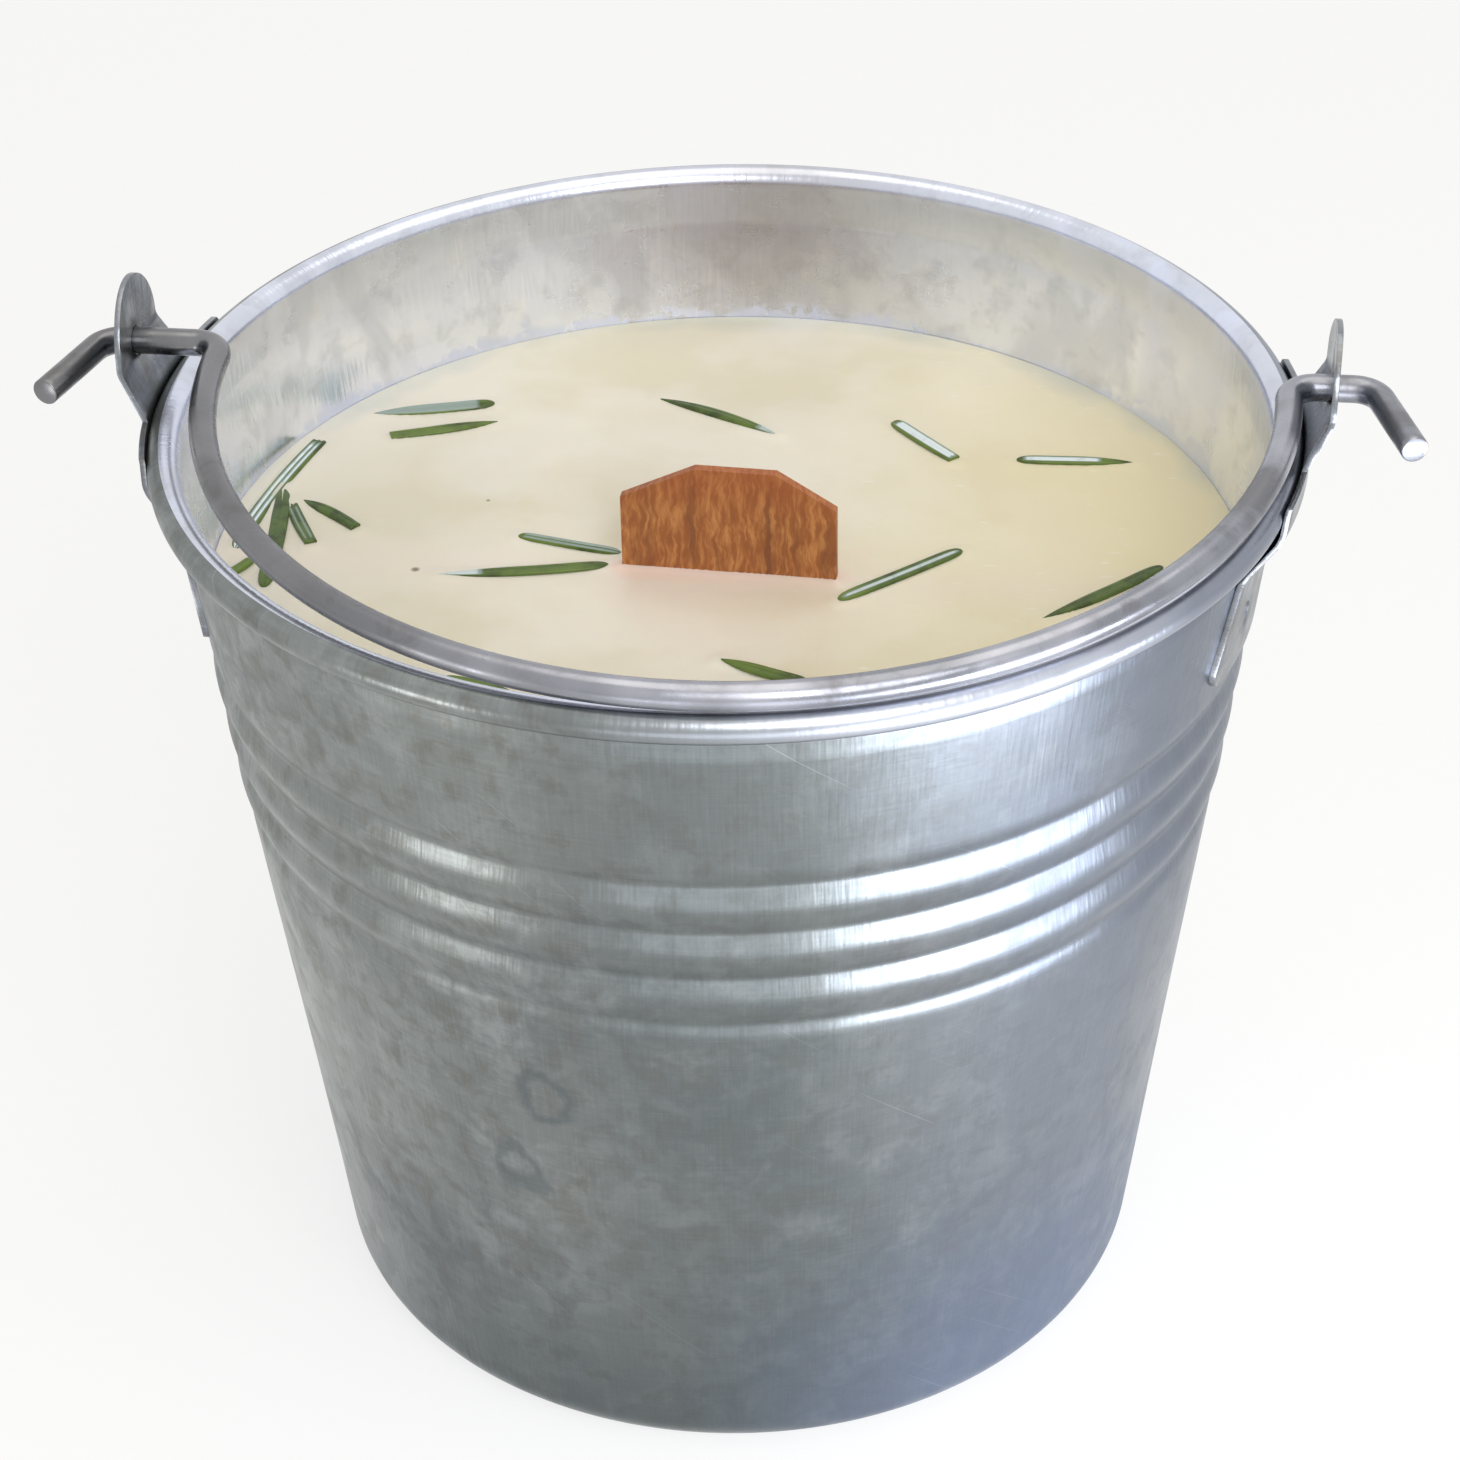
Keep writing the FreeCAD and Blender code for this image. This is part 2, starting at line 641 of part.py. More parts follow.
def build_ear(name, turn):
    """A pressed ear: a wide foot welded under the rim, lapping it, and a round head.

    The sheet follows the wall, steps out round the rolled rim, leans out to the hinge line
    and ends upright. Its outline is then cut from the side.
    """
    body = piece(name)
    section = sketch_on(body, "XZ_Plane", "ear_section")
    foot_height = rim_height - ear_foot_drop
    joggle_height = rim_height - ear_joggle_drop
    lap_height = rim_height - ear_lap_drop
    cap_height = rim_height + ear_cap_rise
    top_height = hinge_height + ear_round
    inside = [
        (wall_radius(foot_height) + seat_gap, foot_height),
        (wall_radius(joggle_height) + seat_gap, joggle_height),
        (lap_radius, lap_height),
        (lap_radius, cap_height),
        (ear_reach, ear_bend_height),
        (ear_reach, top_height),
    ]
    outside = [(radius + ear_gauge, height) for radius, height in reversed(inside)]
    draw(section, inside + outside)
    turned = revolved(body, section, "pressed_sheet")
    turned.Midplane = True
    bind(turned, "Angle", ear_sweep)
    doc.recompute()
    for number, (radius, height) in enumerate(inside[1:-1], start=1):
        edges = circles_at(body.Shape, radius, height)
        edges += circles_at(body.Shape, radius + ear_gauge, height)
        rounded(body, edges, "bend_%d" % number, ear_bend)
    outline = sketch_on(body, "YZ_Plane", "ear_outline")
    frame_half = ear_foot_half * 2
    draw(outline, rectangle(-frame_half, foot_height - ear_round, frame_half, top_height + ear_round))
    right_side = [
        (ear_foot_half - ear_bend, foot_height, ear_bend, 1),
        (ear_foot_half, foot_height + ear_bend),
        (ear_waist_half, joggle_height),
        (ear_cap_half, cap_height),
        (ear_neck_half, cap_height),
        (ear_round, hinge_height, ear_round, 1),
    ]
    left_side = [
        (0, top_height, ear_round, 1),
        (-ear_round, hinge_height),
        (-ear_neck_half, cap_height),
        (-ear_cap_half, cap_height),
        (-ear_waist_half, joggle_height),
        (-ear_foot_half, foot_height + ear_bend, ear_bend, 1),
        (ear_bend - ear_foot_half, foot_height),
    ]
    draw(outline, right_side + left_side)
    pocketed(body, outline, "trimmed_outline", reversed_way=True)
    hole = sketch_on(body, "YZ_Plane", "hole_outline")
    draw_circle(hole, 0, hinge_height, wire_radius + running_gap)
    pocketed(body, hole, "bail_hole", reversed_way=True)
    for side_name, side in (("back", 1), ("front", -1)):
        dimple_ear(body, "weld_" + side_name, side)
    body.Placement = FreeCAD.Placement(FreeCAD.Vector(), FreeCAD.Rotation(FreeCAD.Vector(0, 0, 1), turn))
    return body


def build_bail():
    """The bail: one wire with a bow, two cross pieces through the ears and two hooked ends.

    It is drawn flat, with the hinge line along X and the bow towards -Y, then tipped down
    until the bow lies on the rim.
    """
    body = piece("bail_handle")
    path = sketch_on(body, "XY_Plane", "wire_path")
    hook_out = hook_bend * sine(hook_turn)
    hook_on = hook_bend * (1 - cosine(hook_turn))
    end_out = cross_half + hook_out + hook_length * cosine(hook_turn)
    end_on = hook_on + hook_length * sine(hook_turn)
    left_arm = bow_shift - bow_radius
    right_arm = bow_shift + bow_radius
    draw(path, [
        (-end_out, -end_on),
        (-cross_half - hook_out, -hook_on, hook_bend, -1),
        (-cross_half, 0),
        (left_arm - inner_bend, 0, inner_bend, -1),
        (left_arm, -inner_bend, bow_radius, 1),
        (bow_shift, -bow_reach, bow_radius, 1),
        (right_arm, -inner_bend, inner_bend, -1),
        (right_arm + inner_bend, 0),
        (cross_half, 0, hook_bend, -1),
        (cross_half + hook_out, -hook_on),
        (end_out, -end_on),
    ], closed=False)
    ring = sketch_on(body, "YZ_Plane", "wire_section")
    draw_circle(ring, 0, 0, wire_radius)
    bind(ring, "AttachmentOffset.Base.x", -bow_reach)
    bind(ring, "AttachmentOffset.Base.z", bow_shift)
    wire = body.newObject("PartDesign::AdditivePipe", "bent_wire")
    wire.Profile = ring
    wire.Spine = (path, [])
    tipped = FreeCAD.Rotation(FreeCAD.Vector(1, 0, 0), rest_tilt.value)
    body.Placement = FreeCAD.Placement(FreeCAD.Vector(), tipped)
    place(body, bail_slide, 0, hinge_height)
    bind(body, "Placement.Rotation.Angle", rest_tilt)
    return body


def leaf_side(length, bulge):
    """Radius and turn of the arc that bulges by a given amount over a leaf's length."""
    radius = length * length / (8 * bulge) + bulge / 2
    if bulge.value > 0:
        return radius, 1
    return -radius, -1


def build_leaf(leaf):
    """One rosemary leaf: narrow, blunt at both ends, a little bowed, flat underneath."""
    body = piece(leaf["name"])
    length = leaf["length"]
    bow = leaf["bow"]
    half = length / 2
    swell = leaf["width"] / 2 - leaf_end_half
    sketch = sketch_on(body, "XY_Plane", "leaf_outline")
    draw(sketch, [
        (-half, -leaf_end_half) + leaf_side(length, swell + bow),
        (half, -leaf_end_half),
        (half, leaf_end_half) + leaf_side(length, swell - bow),
        (-half, leaf_end_half),
    ])
    padded(body, sketch, "blade", leaf_height)
    doc.recompute()
    upper_edges = []
    for edge_number, edge in enumerate(body.Shape.Edges, start=1):
        lowest = min(vertex.Z for vertex in edge.Vertexes)
        if same(lowest, leaf_height.value):
            upper_edges.append("Edge%d" % edge_number)
    rounded(body, upper_edges, "rolled_edges", leaf_edge)
    from_across, from_back = leaf["from"]
    place(body, from_across + leaf["across"], from_back + leaf["back"], wax_level)
    bind(body, "Placement.Rotation.Angle", leaf["turn"])
    return body


bodies = [
    build_bucket(),
    build_wax(),
    build_wick(),
    build_clip(),
    build_pad(),
    build_ear("right_ear", 0),
    build_ear("left_ear", WHOLE_TURN / 2),
    build_bail(),
]
for leaf in leaves:
    bodies.append(build_leaf(leaf))
doc.recompute()

for item in doc.Objects:
    if "Invalid" in item.State or "Error" in item.State:
        raise ValueError("%s is not sound: %s" % (item.Name, item.State))

os.makedirs("parts", exist_ok=True)
for body in bodies:
    if body.Shape.isNull() or not body.Shape.isValid():
        raise ValueError("%s has no valid shape" % body.Label)
    body.Shape.exportStep("parts/%s.step" % body.Label)
    print(body.Label, len(body.Shape.Solids), "solids", round(body.Shape.Volume, 1), "mm3", len(body.Shape.Faces))
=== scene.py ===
"""A small galvanised bucket candle: drawn bucket, ears, wire bail, wax, wooden wick, rosemary.

Metres, +Z up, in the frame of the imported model: ears along X, the bail lying towards -Y.
"""
import math

import bmesh
import bpy
import numpy as np
from bpy.props import FloatProperty, FloatVectorProperty, IntProperty, PointerProperty
from mathutils import Matrix, Vector


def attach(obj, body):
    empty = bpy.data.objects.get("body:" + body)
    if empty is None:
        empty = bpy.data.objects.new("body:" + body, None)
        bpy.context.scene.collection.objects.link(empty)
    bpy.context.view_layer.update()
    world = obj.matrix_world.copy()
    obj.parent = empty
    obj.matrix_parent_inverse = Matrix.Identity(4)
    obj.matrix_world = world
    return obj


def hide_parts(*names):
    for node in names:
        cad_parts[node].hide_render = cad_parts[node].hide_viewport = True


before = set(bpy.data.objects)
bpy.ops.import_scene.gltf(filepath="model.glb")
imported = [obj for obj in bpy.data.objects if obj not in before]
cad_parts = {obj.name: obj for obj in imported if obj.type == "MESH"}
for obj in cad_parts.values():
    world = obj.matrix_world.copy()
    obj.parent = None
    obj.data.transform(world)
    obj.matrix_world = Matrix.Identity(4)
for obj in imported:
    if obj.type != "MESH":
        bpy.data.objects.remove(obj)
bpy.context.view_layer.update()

bl_info = {
    "name": "Bucket candle",
    "version": (1, 0, 0),
    "blender": (4, 5, 0),
    "location": "3D View > Sidebar > Bucket candle",
    "description": "Builds the looks of a galvanised bucket candle round its packed model",
    "category": "Object",
}

MM = 0.001
RING_COUNT = 3
# Each leaf's look: its left and right end, bow and width in mm, the stretch of its length that
# shows silver felt (0 left, 1 right), where the felt lies across it (0 middle, 1 edge), how silver
LEAF_LOOKS = (
    ("point", "round", 0.2, 1.75, (0.03, 0.86), (0.0, 0.95), 0.6),
    ("cut", "point", 0.2, 1.45, None, None, 0),
    ("point", "thin", -0.3, 1.4, (0.84, 1.1), (0.0, 0.8), 0.75),
    ("round", "cut", 0.1, 1.6, (0.08, 0.97), (0.0, 0.66), 1.0),
    ("round", "point", 0.1, 1.35, (0.07, 0.72), (0.0, 0.6), 0.95),
    ("round", "round", 0.1, 1.2, (0.06, 1.1), (0.1, 0.8), 0.65),
    ("point", "round", 0.4, 1.4, (-0.1, 0.26), (0.0, 0.85), 0.85),
    ("round", "round", 0.1, 1.5, (0.04, 0.96), (0.0, 0.3), 0.85),
    ("point", "round", 0.3, 1.5, None, None, 0),
    ("point", "round", 0.2, 1.5, None, None, 0),
    ("point", "cut", -0.2, 1.4, None, None, 0),
    ("cut", "cut", 0.1, 1.4, (0.08, 0.92), (0.25, 0.6), 0.5),
    ("round", "cut", -0.5, 1.7, (-0.1, 0.97), (0.16, 0.6), 1.0),
    ("round", "round", -0.3, 1.7, None, None, 0),
    ("round", "round", 0.1, 1.1, None, None, 0),
    ("thin", "thin", 0.1, 0.9, None, None, 0),
)
END_TAPERS = {"round": 0.0, "cut": 0.12, "point": 0.85, "thin": 0.6}
# The dried water rings on the wall: middle, radius and width of the line, in mm
WATER_RINGS = (((-11.7, -43.9, 45.9), 2.4, 1.0), ((-14.8, -41.7, 35.6), 2.0, 1.2))
# The specks of spice on the wax: across, back and radius, in mm
SPICE_SPECKS = ((-28.9, -4.7, 0.2), (-24.3, 8.8, 0.1))
WICK_DROP = 3.7 * MM  # top of the wick below the rim's middle
CURL_END = -120  # degrees, where the rim's curl ends under its bead
MIDDLE_RADIUS = 48 * MM  # the wall's radius, for laying it flat
EVEN = 1000  # mm, a noise feature so long that the pattern is even along that axis
ELSEWHERE = (0.31, 0.17, 0.23)  # metres, a shift to another part of the same noise
FLUSH = 0.05 * MM  # how far a surface lies off or in the one beside it
WHITE = (1.0, 1.0, 1.0, 1.0)


def linear(hex_colour):
    """sRGB hex, such as #8c928d, to linear red, green, blue and a full alpha."""
    levels = [int(hex_colour[start:start + 2], 16) / 255 for start in (1, 3, 5)]
    curve = [level / 12.92 if level <= 0.04045 else ((level + 0.055) / 1.055) ** 2.4
             for level in levels]
    return (*curve, 1.0)


def length(name, description, millimetres):
    return FloatProperty(name=name, description=description, default=millimetres * MM,
                         unit="LENGTH", precision=5)


def colour(name, description, hex_colour):
    return FloatVectorProperty(name=name, description=description, size=4, min=0.0, max=1.0,
                               default=linear(hex_colour), subtype="COLOR")


def power(name, description, watts):
    return FloatProperty(name=name, description=description, default=watts, min=0.0,
                         subtype="POWER", unit="POWER")


class BucketSizes(bpy.types.PropertyGroup):
    """Sizes of the bucket, its wax and its wick."""

    rim_height: length("Rim height", "Middle of the rolled rim above the floor", 90.8)
    base_radius: length("Base radius", "Outside of the wall, carried down to the floor", 40.2)
    top_radius: length("Top radius", "Outside of the wall, carried up to the rim", 50.6)
    gauge: length("Sheet", "Thickness of the sheet", 0.5)
    corner: length("Corner", "Outside radius between wall and base", 4.0)
    floor_radius: length("Raised floor", "Radius of the raised middle of the base", 31.0)
    floor_rise: length("Floor rise", "Height of the raised middle of the base", 1.5)
    neck: length("Neck", "Upright band between the crease and the rim", 4.2)
    bead: length("Bead", "Radius of the rolled rim's section", 1.5)
    ring_pitch: length("Ring pitch", "Height of each pressed ring", 5.3)
    ring_depth: length("Ring depth", "How far a ring stands out from its valleys", 0.62)
    ring_sink: length("Ring sink", "How far the valleys lie inside the wall's line", 0.36)
    rings_drop: length("Rings drop", "Top of the highest ring below the rim", 18.1)
    dent: length("Dents", "Depth of the shallow hand dents in the wall", 0.05)
    wax_drop: length("Wax drop", "Top of the wax below the rim", 15.0)
    meniscus: length("Meniscus", "Rise of the wax at the wall", 0.5)
    wick_across: length("Wick across", "Middle of the wick along the hinge line", 0.6)
    wick_forward: length("Wick forward", "Middle of the wick in front of the hinge line", 3.0)
    wick_width: length("Wick width", "Width of the wooden wick", 20.2)
    wick_turn: FloatProperty(name="Wick turn", description="Turn of the wick about the upright",
                             default=math.radians(-3.0), subtype="ANGLE")
    columns: IntProperty(name="Columns", description="Faces round the bucket", default=300,
                         min=48, max=600)


class BailSizes(bpy.types.PropertyGroup):
    """Sizes of the wire bail, measured along the middle of its wire."""

    wire: length("Wire", "Radius of the wire", 1.25)
    hinge_rise: length("Hinge rise", "Hinge line above the rim", 5.6)
    bow: length("Bow", "Radius of the bow", 48.68)
    shift: length("Shift", "How far the bow sits to the right of its ends", 1.7)
    slide: length("Slide", "How far the bail has slid to the right", 0.5)
    inner_bend: length("Inner bend", "Bend between bow and cross piece", 2.5)
    cross_half: length("Cross piece", "Where the hooks begin", 56.1)
    hook_bend: length("Hook bend", "Radius of a hook's bend", 2.6)
    hook_length: length("Hook", "Straight end of a hook", 8.3)
    rest_gap: length("Rest gap", "Gap between bow and rim", 0.3)
    hook_turn: FloatProperty(name="Hook turn", description="How far a hook is bent forward",
                             default=math.radians(72), subtype="ANGLE")


class Finishes(bpy.types.PropertyGroup):
    """Colours of the bucket candle's materials."""

    zinc: colour("Zinc", "Plain grey of the galvanised sheet", "#858987")
    zinc_dark: colour("Dark spangle", "Dull dark grains of the zinc", "#60676a")
    zinc_light: colour("Light spangle", "Bright grains of the zinc", "#a3a7a7")
    # painted light: the inside is the same zinc as the outside, painted near-white and bluish for its
    # bright reflections
    inside: colour("Inside", "Paler zinc of the inside wall", "#f0f4ff")
    wire: colour("Wire", "Drawn wire of the bail", "#8e9098")
    ear: colour("Ear", "Pressed steel of the ears", "#868a90")
    wax: colour("Wax", "Cream soy wax", "#e6dfc9")
    # painted light: the wax is yellower and lighter to the right, where the light falls
    wax_painted_light: colour("Warm wax", "Yellower wax to the right", "#ebdfb5")
    wax_pale: colour("Pale wax", "Whiter clouds in the wax", "#eee8d8")
    cherry: colour("Cherry", "Planed cherry veneer", "#a05f2d")
    cherry_dark: colour("Cherry grain", "Dark lines of the veneer", "#7c4724")
    leaf: colour("Leaf", "Upper side of a rosemary leaf", "#4c6128")
    leaf_edge: colour("Leaf edge", "Dried edges of a rosemary leaf", "#38461c")
    felt: colour("Felt", "Silver felt under a rosemary leaf", "#93a39b")
    tin: colour("Tinplate", "The wick's clip", "#b4b6b8")
    foam: colour("Foam", "The adhesive pad", "#e8e6df")
    floor: colour("Floor", "The studio floor", "#f8f8f6")


class LightLevels(bpy.types.PropertyGroup):
    """Powers of the studio's lamps."""

    top: power("Top lamp", "Large soft lamp overhead", 2.1)
    key: power("Key lamp", "Soft lamp above the front", 2.6)
    window: power("Window lamp", "Low lamp at the right", 0.18)
    glow: power("Glow lamp", "Low dim lamp in front", 0.035)
    side: power("Side lamp", "Small low lamp at the left", 0.036)
    world: FloatProperty(name="Surroundings", description="Even light of the room",
                         default=0.44, min=0.0)


def wired(tree, node, inputs):
    """Give a node its inputs: a value that is a socket is linked, and any other is set."""
    for key, value in inputs.items():
        if isinstance(value, bpy.types.NodeSocket):
            tree.links.new(value, node.inputs[key])
        else:
            node.inputs[key].default_value = value


def add(tree, kind, inputs=None, **settings):
    """Add one node with its settings and its inputs."""
    made = tree.nodes.new(kind)
    for name, value in settings.items():
        setattr(made, name, value)
    wired(tree, made, inputs or {})
    return made


def new_material(name):
    """A material with its node tree, its shader and the place on the object."""
    material = bpy.data.materials.new(name)
    material.use_nodes = True
    tree = material.node_tree
    shader = tree.nodes["Principled BSDF"]
    place = add(tree, "ShaderNodeTexCoord").outputs["Object"]
    return material, tree, shader, place


def per_mm(millimetres):
    """Texture scale at which one feature is that many millimetres across."""
    return 1 / (millimetres * MM)


def weighted(tree, start, *parts):
    """A start plus several values, each times its own factor: a part is (value, factor)."""
    total = start
    for value, factor in parts:
        total = add(tree, "ShaderNodeMath", {
            0: value, 1: factor, 2: total}, operation="MULTIPLY_ADD").outputs[0]
    return total


def share_of(tree, *parts):
    """The product of several shares.

    A part is a share, or (value, low, high, share at low, share at high) for one that follows
    a value in a straight line between low and high and is held beyond them.
    """
    total = None
    for part in parts:
        if isinstance(part, tuple):
            part = add(tree, "ShaderNodeMapRange", dict(enumerate(part))).outputs[0]
        total = part if total is None else add(tree, "ShaderNodeMath", {
            0: total, 1: part}, operation="MULTIPLY").outputs[0]
    return total


def painted(tree, shade, *layers):
    """A colour with others laid over it, one after another.

    A layer is its colour, as hex or as the user's own, and the parts of its share, as share_of
    takes them.
    """
    for over, *parts in layers:
        over = linear(over) if isinstance(over, str) else over
        shade = add(tree, "ShaderNodeMix", {
            0: share_of(tree, *parts), 6: shade, 7: over}, data_type="RGBA").outputs[2]
    return shade


def away_from(tree, place, spot, near, far, most):
    """A soft round patch: its share is most within near mm of the spot and nothing past far."""
    away = add(tree, "ShaderNodeVectorMath", {0: place, 1: spot}, operation="DISTANCE")
    return share_of(tree, (away.outputs["Value"], near * MM, far * MM, most, 0.0))


def off_from(tree, value, middle):
    """How far a value is from its middle, on either side."""
    beside = add(tree, "ShaderNodeMath", {0: value, 1: middle}, operation="SUBTRACT")
    return add(tree, "ShaderNodeMath", {0: beside.outputs[0]}, operation="ABSOLUTE").outputs[0]


def stirred(tree, place, swirl, reach):
    """The place pushed about by a noise's colour, at full colour by reach millimetres."""
    push = add(tree, "ShaderNodeVectorMath", {0: swirl, "Scale": reach * MM}, operation="SCALE")
    return add(tree, "ShaderNodeVectorMath", {0: place, 1: push.outputs[0]}, operation="ADD").outputs[0]


def drawn_out(tree, place, feature, detail, roughness=0.5, turn=0):
    """Noise with features of their own size along each axis, in millimetres, turned about Z."""
    stretched = add(tree, "ShaderNodeMapping", {
        "Vector": place, "Rotation": (0.0, 0.0, math.radians(turn)),
        "Scale": tuple(per_mm(size) for size in feature)})
    return add(tree, "ShaderNodeTexNoise", {
        "Vector": stretched.outputs[0], "Scale": 1.0, "Detail": detail,
        "Roughness": roughness}).outputs["Fac"]


def unrolled(tree, place, radius):
    """The wall laid flat: distance round it from the front as X, height as Y."""
    part = add(tree, "ShaderNodeSeparateXYZ", {0: place}).outputs
    forward = weighted(tree, 0.0, (part["Y"], -1.0))
    angle = add(tree, "ShaderNodeMath", {0: part["X"], 1: forward}, operation="ARCTAN2").outputs[0]
    around = weighted(tree, 0.0, (angle, radius))
    return add(tree, "ShaderNodeCombineXYZ", {"X": around, "Y": part["Z"]}).outputs[0]


def streaks(tree, flat, across, along, turn):
    """Lines of one width and length in mm, turned by degrees on the laid-out wall."""
    line_place = add(tree, "ShaderNodeMapping", {
        "Vector": flat, "Rotation": (0.0, 0.0, math.radians(turn))})
    return drawn_out(tree, line_place.outputs[0], (along, across, EVEN), 1.0, 0.55)


def backdrop_rays(tree):
    """1 for the rays that show the background: from the camera, mirrored, or through glass."""
    path = add(tree, "ShaderNodeLightPath").outputs
    seen = path["Is Camera Ray"]
    for kind in ("Is Glossy Ray", "Is Transmission Ray"):
        seen = add(tree, "ShaderNodeMath", {0: seen, 1: path[kind]}, operation="MAXIMUM").outputs[0]
    return seen


def zinc_material(name, plain, dark, light, shine, wear=1.0):
    """Hot-dip galvanised sheet: feathered dull and bright zinc grains, tarnish, roll lines.

    The eye reads grey metal from soft feathery grains 2 to 5 mm wide that differ a little in
    shade and gloss, gathered in cloudy tarnish, crosswise lines from the rolls, a few scratches.
    Gives back the material, its node tree, its shader, its place socket and its base colour.
    """
    material, tree, shader, place = new_material(name)
    tarnish = add(tree, "ShaderNodeTexNoise", {
        "Vector": place, "Scale": per_mm(30), "Detail": 2.0, "Roughness": 0.5}).outputs["Fac"]
    feather = add(tree, "ShaderNodeTexNoise", {
        "Vector": place, "Scale": per_mm(3), "Detail": 6.0, "Roughness": 0.62,
        "Distortion": 0.35})
    gathered = weighted(tree, feather.outputs["Fac"], (tarnish, 0.6))
    smudges = share_of(tree, (gathered, 0.76, 0.98, 0.0, 0.6 * wear))
    tint = add(tree, "ShaderNodeSeparateColor", {0: feather.outputs["Color"]}).outputs["Red"]
    bright_place = add(tree, "ShaderNodeVectorMath", {0: place, 1: ELSEWHERE}, operation="ADD")
    bright = add(tree, "ShaderNodeTexNoise", {
        "Vector": bright_place.outputs[0], "Scale": per_mm(6.5), "Detail": 6.0, "Roughness": 0.64,
        "Distortion": 0.4})
    grains = add(tree, "ShaderNodeTexVoronoi", {
        "Vector": stirred(tree, place, bright.outputs["Color"], 6), "Scale": per_mm(3.2)})
    grain = add(tree, "ShaderNodeSeparateColor", {0: grains.outputs["Color"]}).outputs[0]
    flat = unrolled(tree, place, MIDDLE_RADIUS)
    rolled = weighted(tree, 0.0, (streaks(tree, flat, 0.3, 6, 0), 0.5),
                      (streaks(tree, flat, 0.3, 6, 90), 0.5))
    scratches = streaks(tree, flat, 0.16, 34, 38)
    shade = painted(
        tree, plain,
        (dark, (tarnish, 0.42, 0.66, 0.0, 0.25 * wear)),
        (dark, (grain, 0.0, 1.0, 0.0, 0.16)),
        (light, (bright.outputs["Fac"], 0.48, 0.68, 0.0, 0.5)),
        (dark, smudges),
        ("#80796b", (tint, 0.5, 0.64, 0.0, 0.3 * wear)),
        (light, (rolled, 0.52, 0.68, 0.0, 0.18)),
        (dark, (rolled, 0.48, 0.32, 0.0, 0.16)),
        ("#dfe2e4", (scratches, 0.76, 0.78, 0.0, 0.35)),
    )
    dullness = share_of(tree, (tarnish, 0.35, 0.65, shine - 0.03, shine + 0.06))
    relief = weighted(tree, 0.0, (rolled, 0.5), (streaks(tree, flat, 5, 0.5, 0), 1.2))
    bump = add(tree, "ShaderNodeBump", {"Strength": 0.5, "Distance": 0.05 * MM, "Height": relief})
    wired(tree, shader, {
        "Base Color": shade,
        "Metallic": 1.0,
        "Roughness": weighted(tree, dullness, (smudges, 0.1), (grain, 0.06)),
        "Normal": bump.outputs[0],
    })
    return material, tree, shader, place, shade


def outside_material(finishes, sizes):
    """The bucket's outer zinc: two dried water rings in front, and painted light and shade.

    The front and the two sides mirror different parts of a room, so they differ a little in tint;
    these tints are painted reflections: darker down the front, bluish to the right, darker at the
    right edge and bluish towards the base on the right. The wall is painted darker towards the
    base at the left as painted shade, and the bead has a painted highlight at the right front.
    """
    material, tree, shader, place, shade = zinc_material(
        "Galvanised sheet, outside", finishes.zinc, finishes.zinc_dark, finishes.zinc_light, 0.29)
    ragged = add(tree, "ShaderNodeTexNoise", {
        "Vector": place, "Scale": per_mm(6.5), "Detail": 5.0, "Roughness": 0.6}).outputs
    either_way = add(tree, "ShaderNodeVectorMath", {
        0: ragged["Color"], 1: (0.5, 0.5, 0.5)}, operation="SUBTRACT").outputs[0]
    near = stirred(tree, place, either_way, 7)
    for spot, radius, band in WATER_RINGS:
        middle = tuple(value * MM for value in spot)
        away = add(tree, "ShaderNodeVectorMath", {0: near, 1: middle}, operation="DISTANCE")
        off_ring = off_from(tree, away.outputs["Value"], radius * MM)
        shade = painted(tree, shade, (
            finishes.zinc_dark, (off_ring, 0.2 * band * MM, band * MM, 0.6, 0.0)))
    across, back, up = add(tree, "ShaderNodeSeparateXYZ", {0: near}).outputs
    off_front = off_from(tree, across, 5 * MM)
    in_front = (back, -24 * MM, 6 * MM, 1.0, 0.2)
    stood = weighted(tree, up, (ragged["Fac"], 8 * MM))
    height = add(tree, "ShaderNodeSeparateXYZ", {0: place}).outputs["Z"]
    bead_low = sizes.rim_height - 2.6 * MM
    shade = painted(
        tree, shade,
        # painted reflection: a darker upright band down the front
        ("#62696b", (off_front, 5 * MM, 20 * MM, 0.45, 0.0)),
        # painted reflection: bluish to the right
        ("#7f889d", (across, 12 * MM, 36 * MM, 0.0, 0.5), in_front),
        # painted reflection: darker and bluish at the right edge
        ("#666d7c", (across, 36 * MM, 46 * MM, 0.0, 0.7)),
        # painted shade: darker towards the base at the left
        ("#4b5458", (stood, 7 * MM, 34 * MM, 0.75, 0.0), (across, -12 * MM, 24 * MM, 1.0, 0.0)),
        # painted reflection: bluish towards the base at the right
        ("#7586a8", (stood, 7 * MM, 34 * MM, 0.55, 0.0), (across, 0.0, 24 * MM, 0.0, 1.0), in_front),
        # painted highlight along the bead at the right front
        ("#d6dae6", (height, bead_low, bead_low + 1 * MM, 0.0, 1.0),
         (across, -6 * MM, 18 * MM, 0.0, 0.65), (across, 34 * MM, 44 * MM, 1.0, 0.3)),
    )
    wired(tree, shader, {"Base Color": shade})
    return material


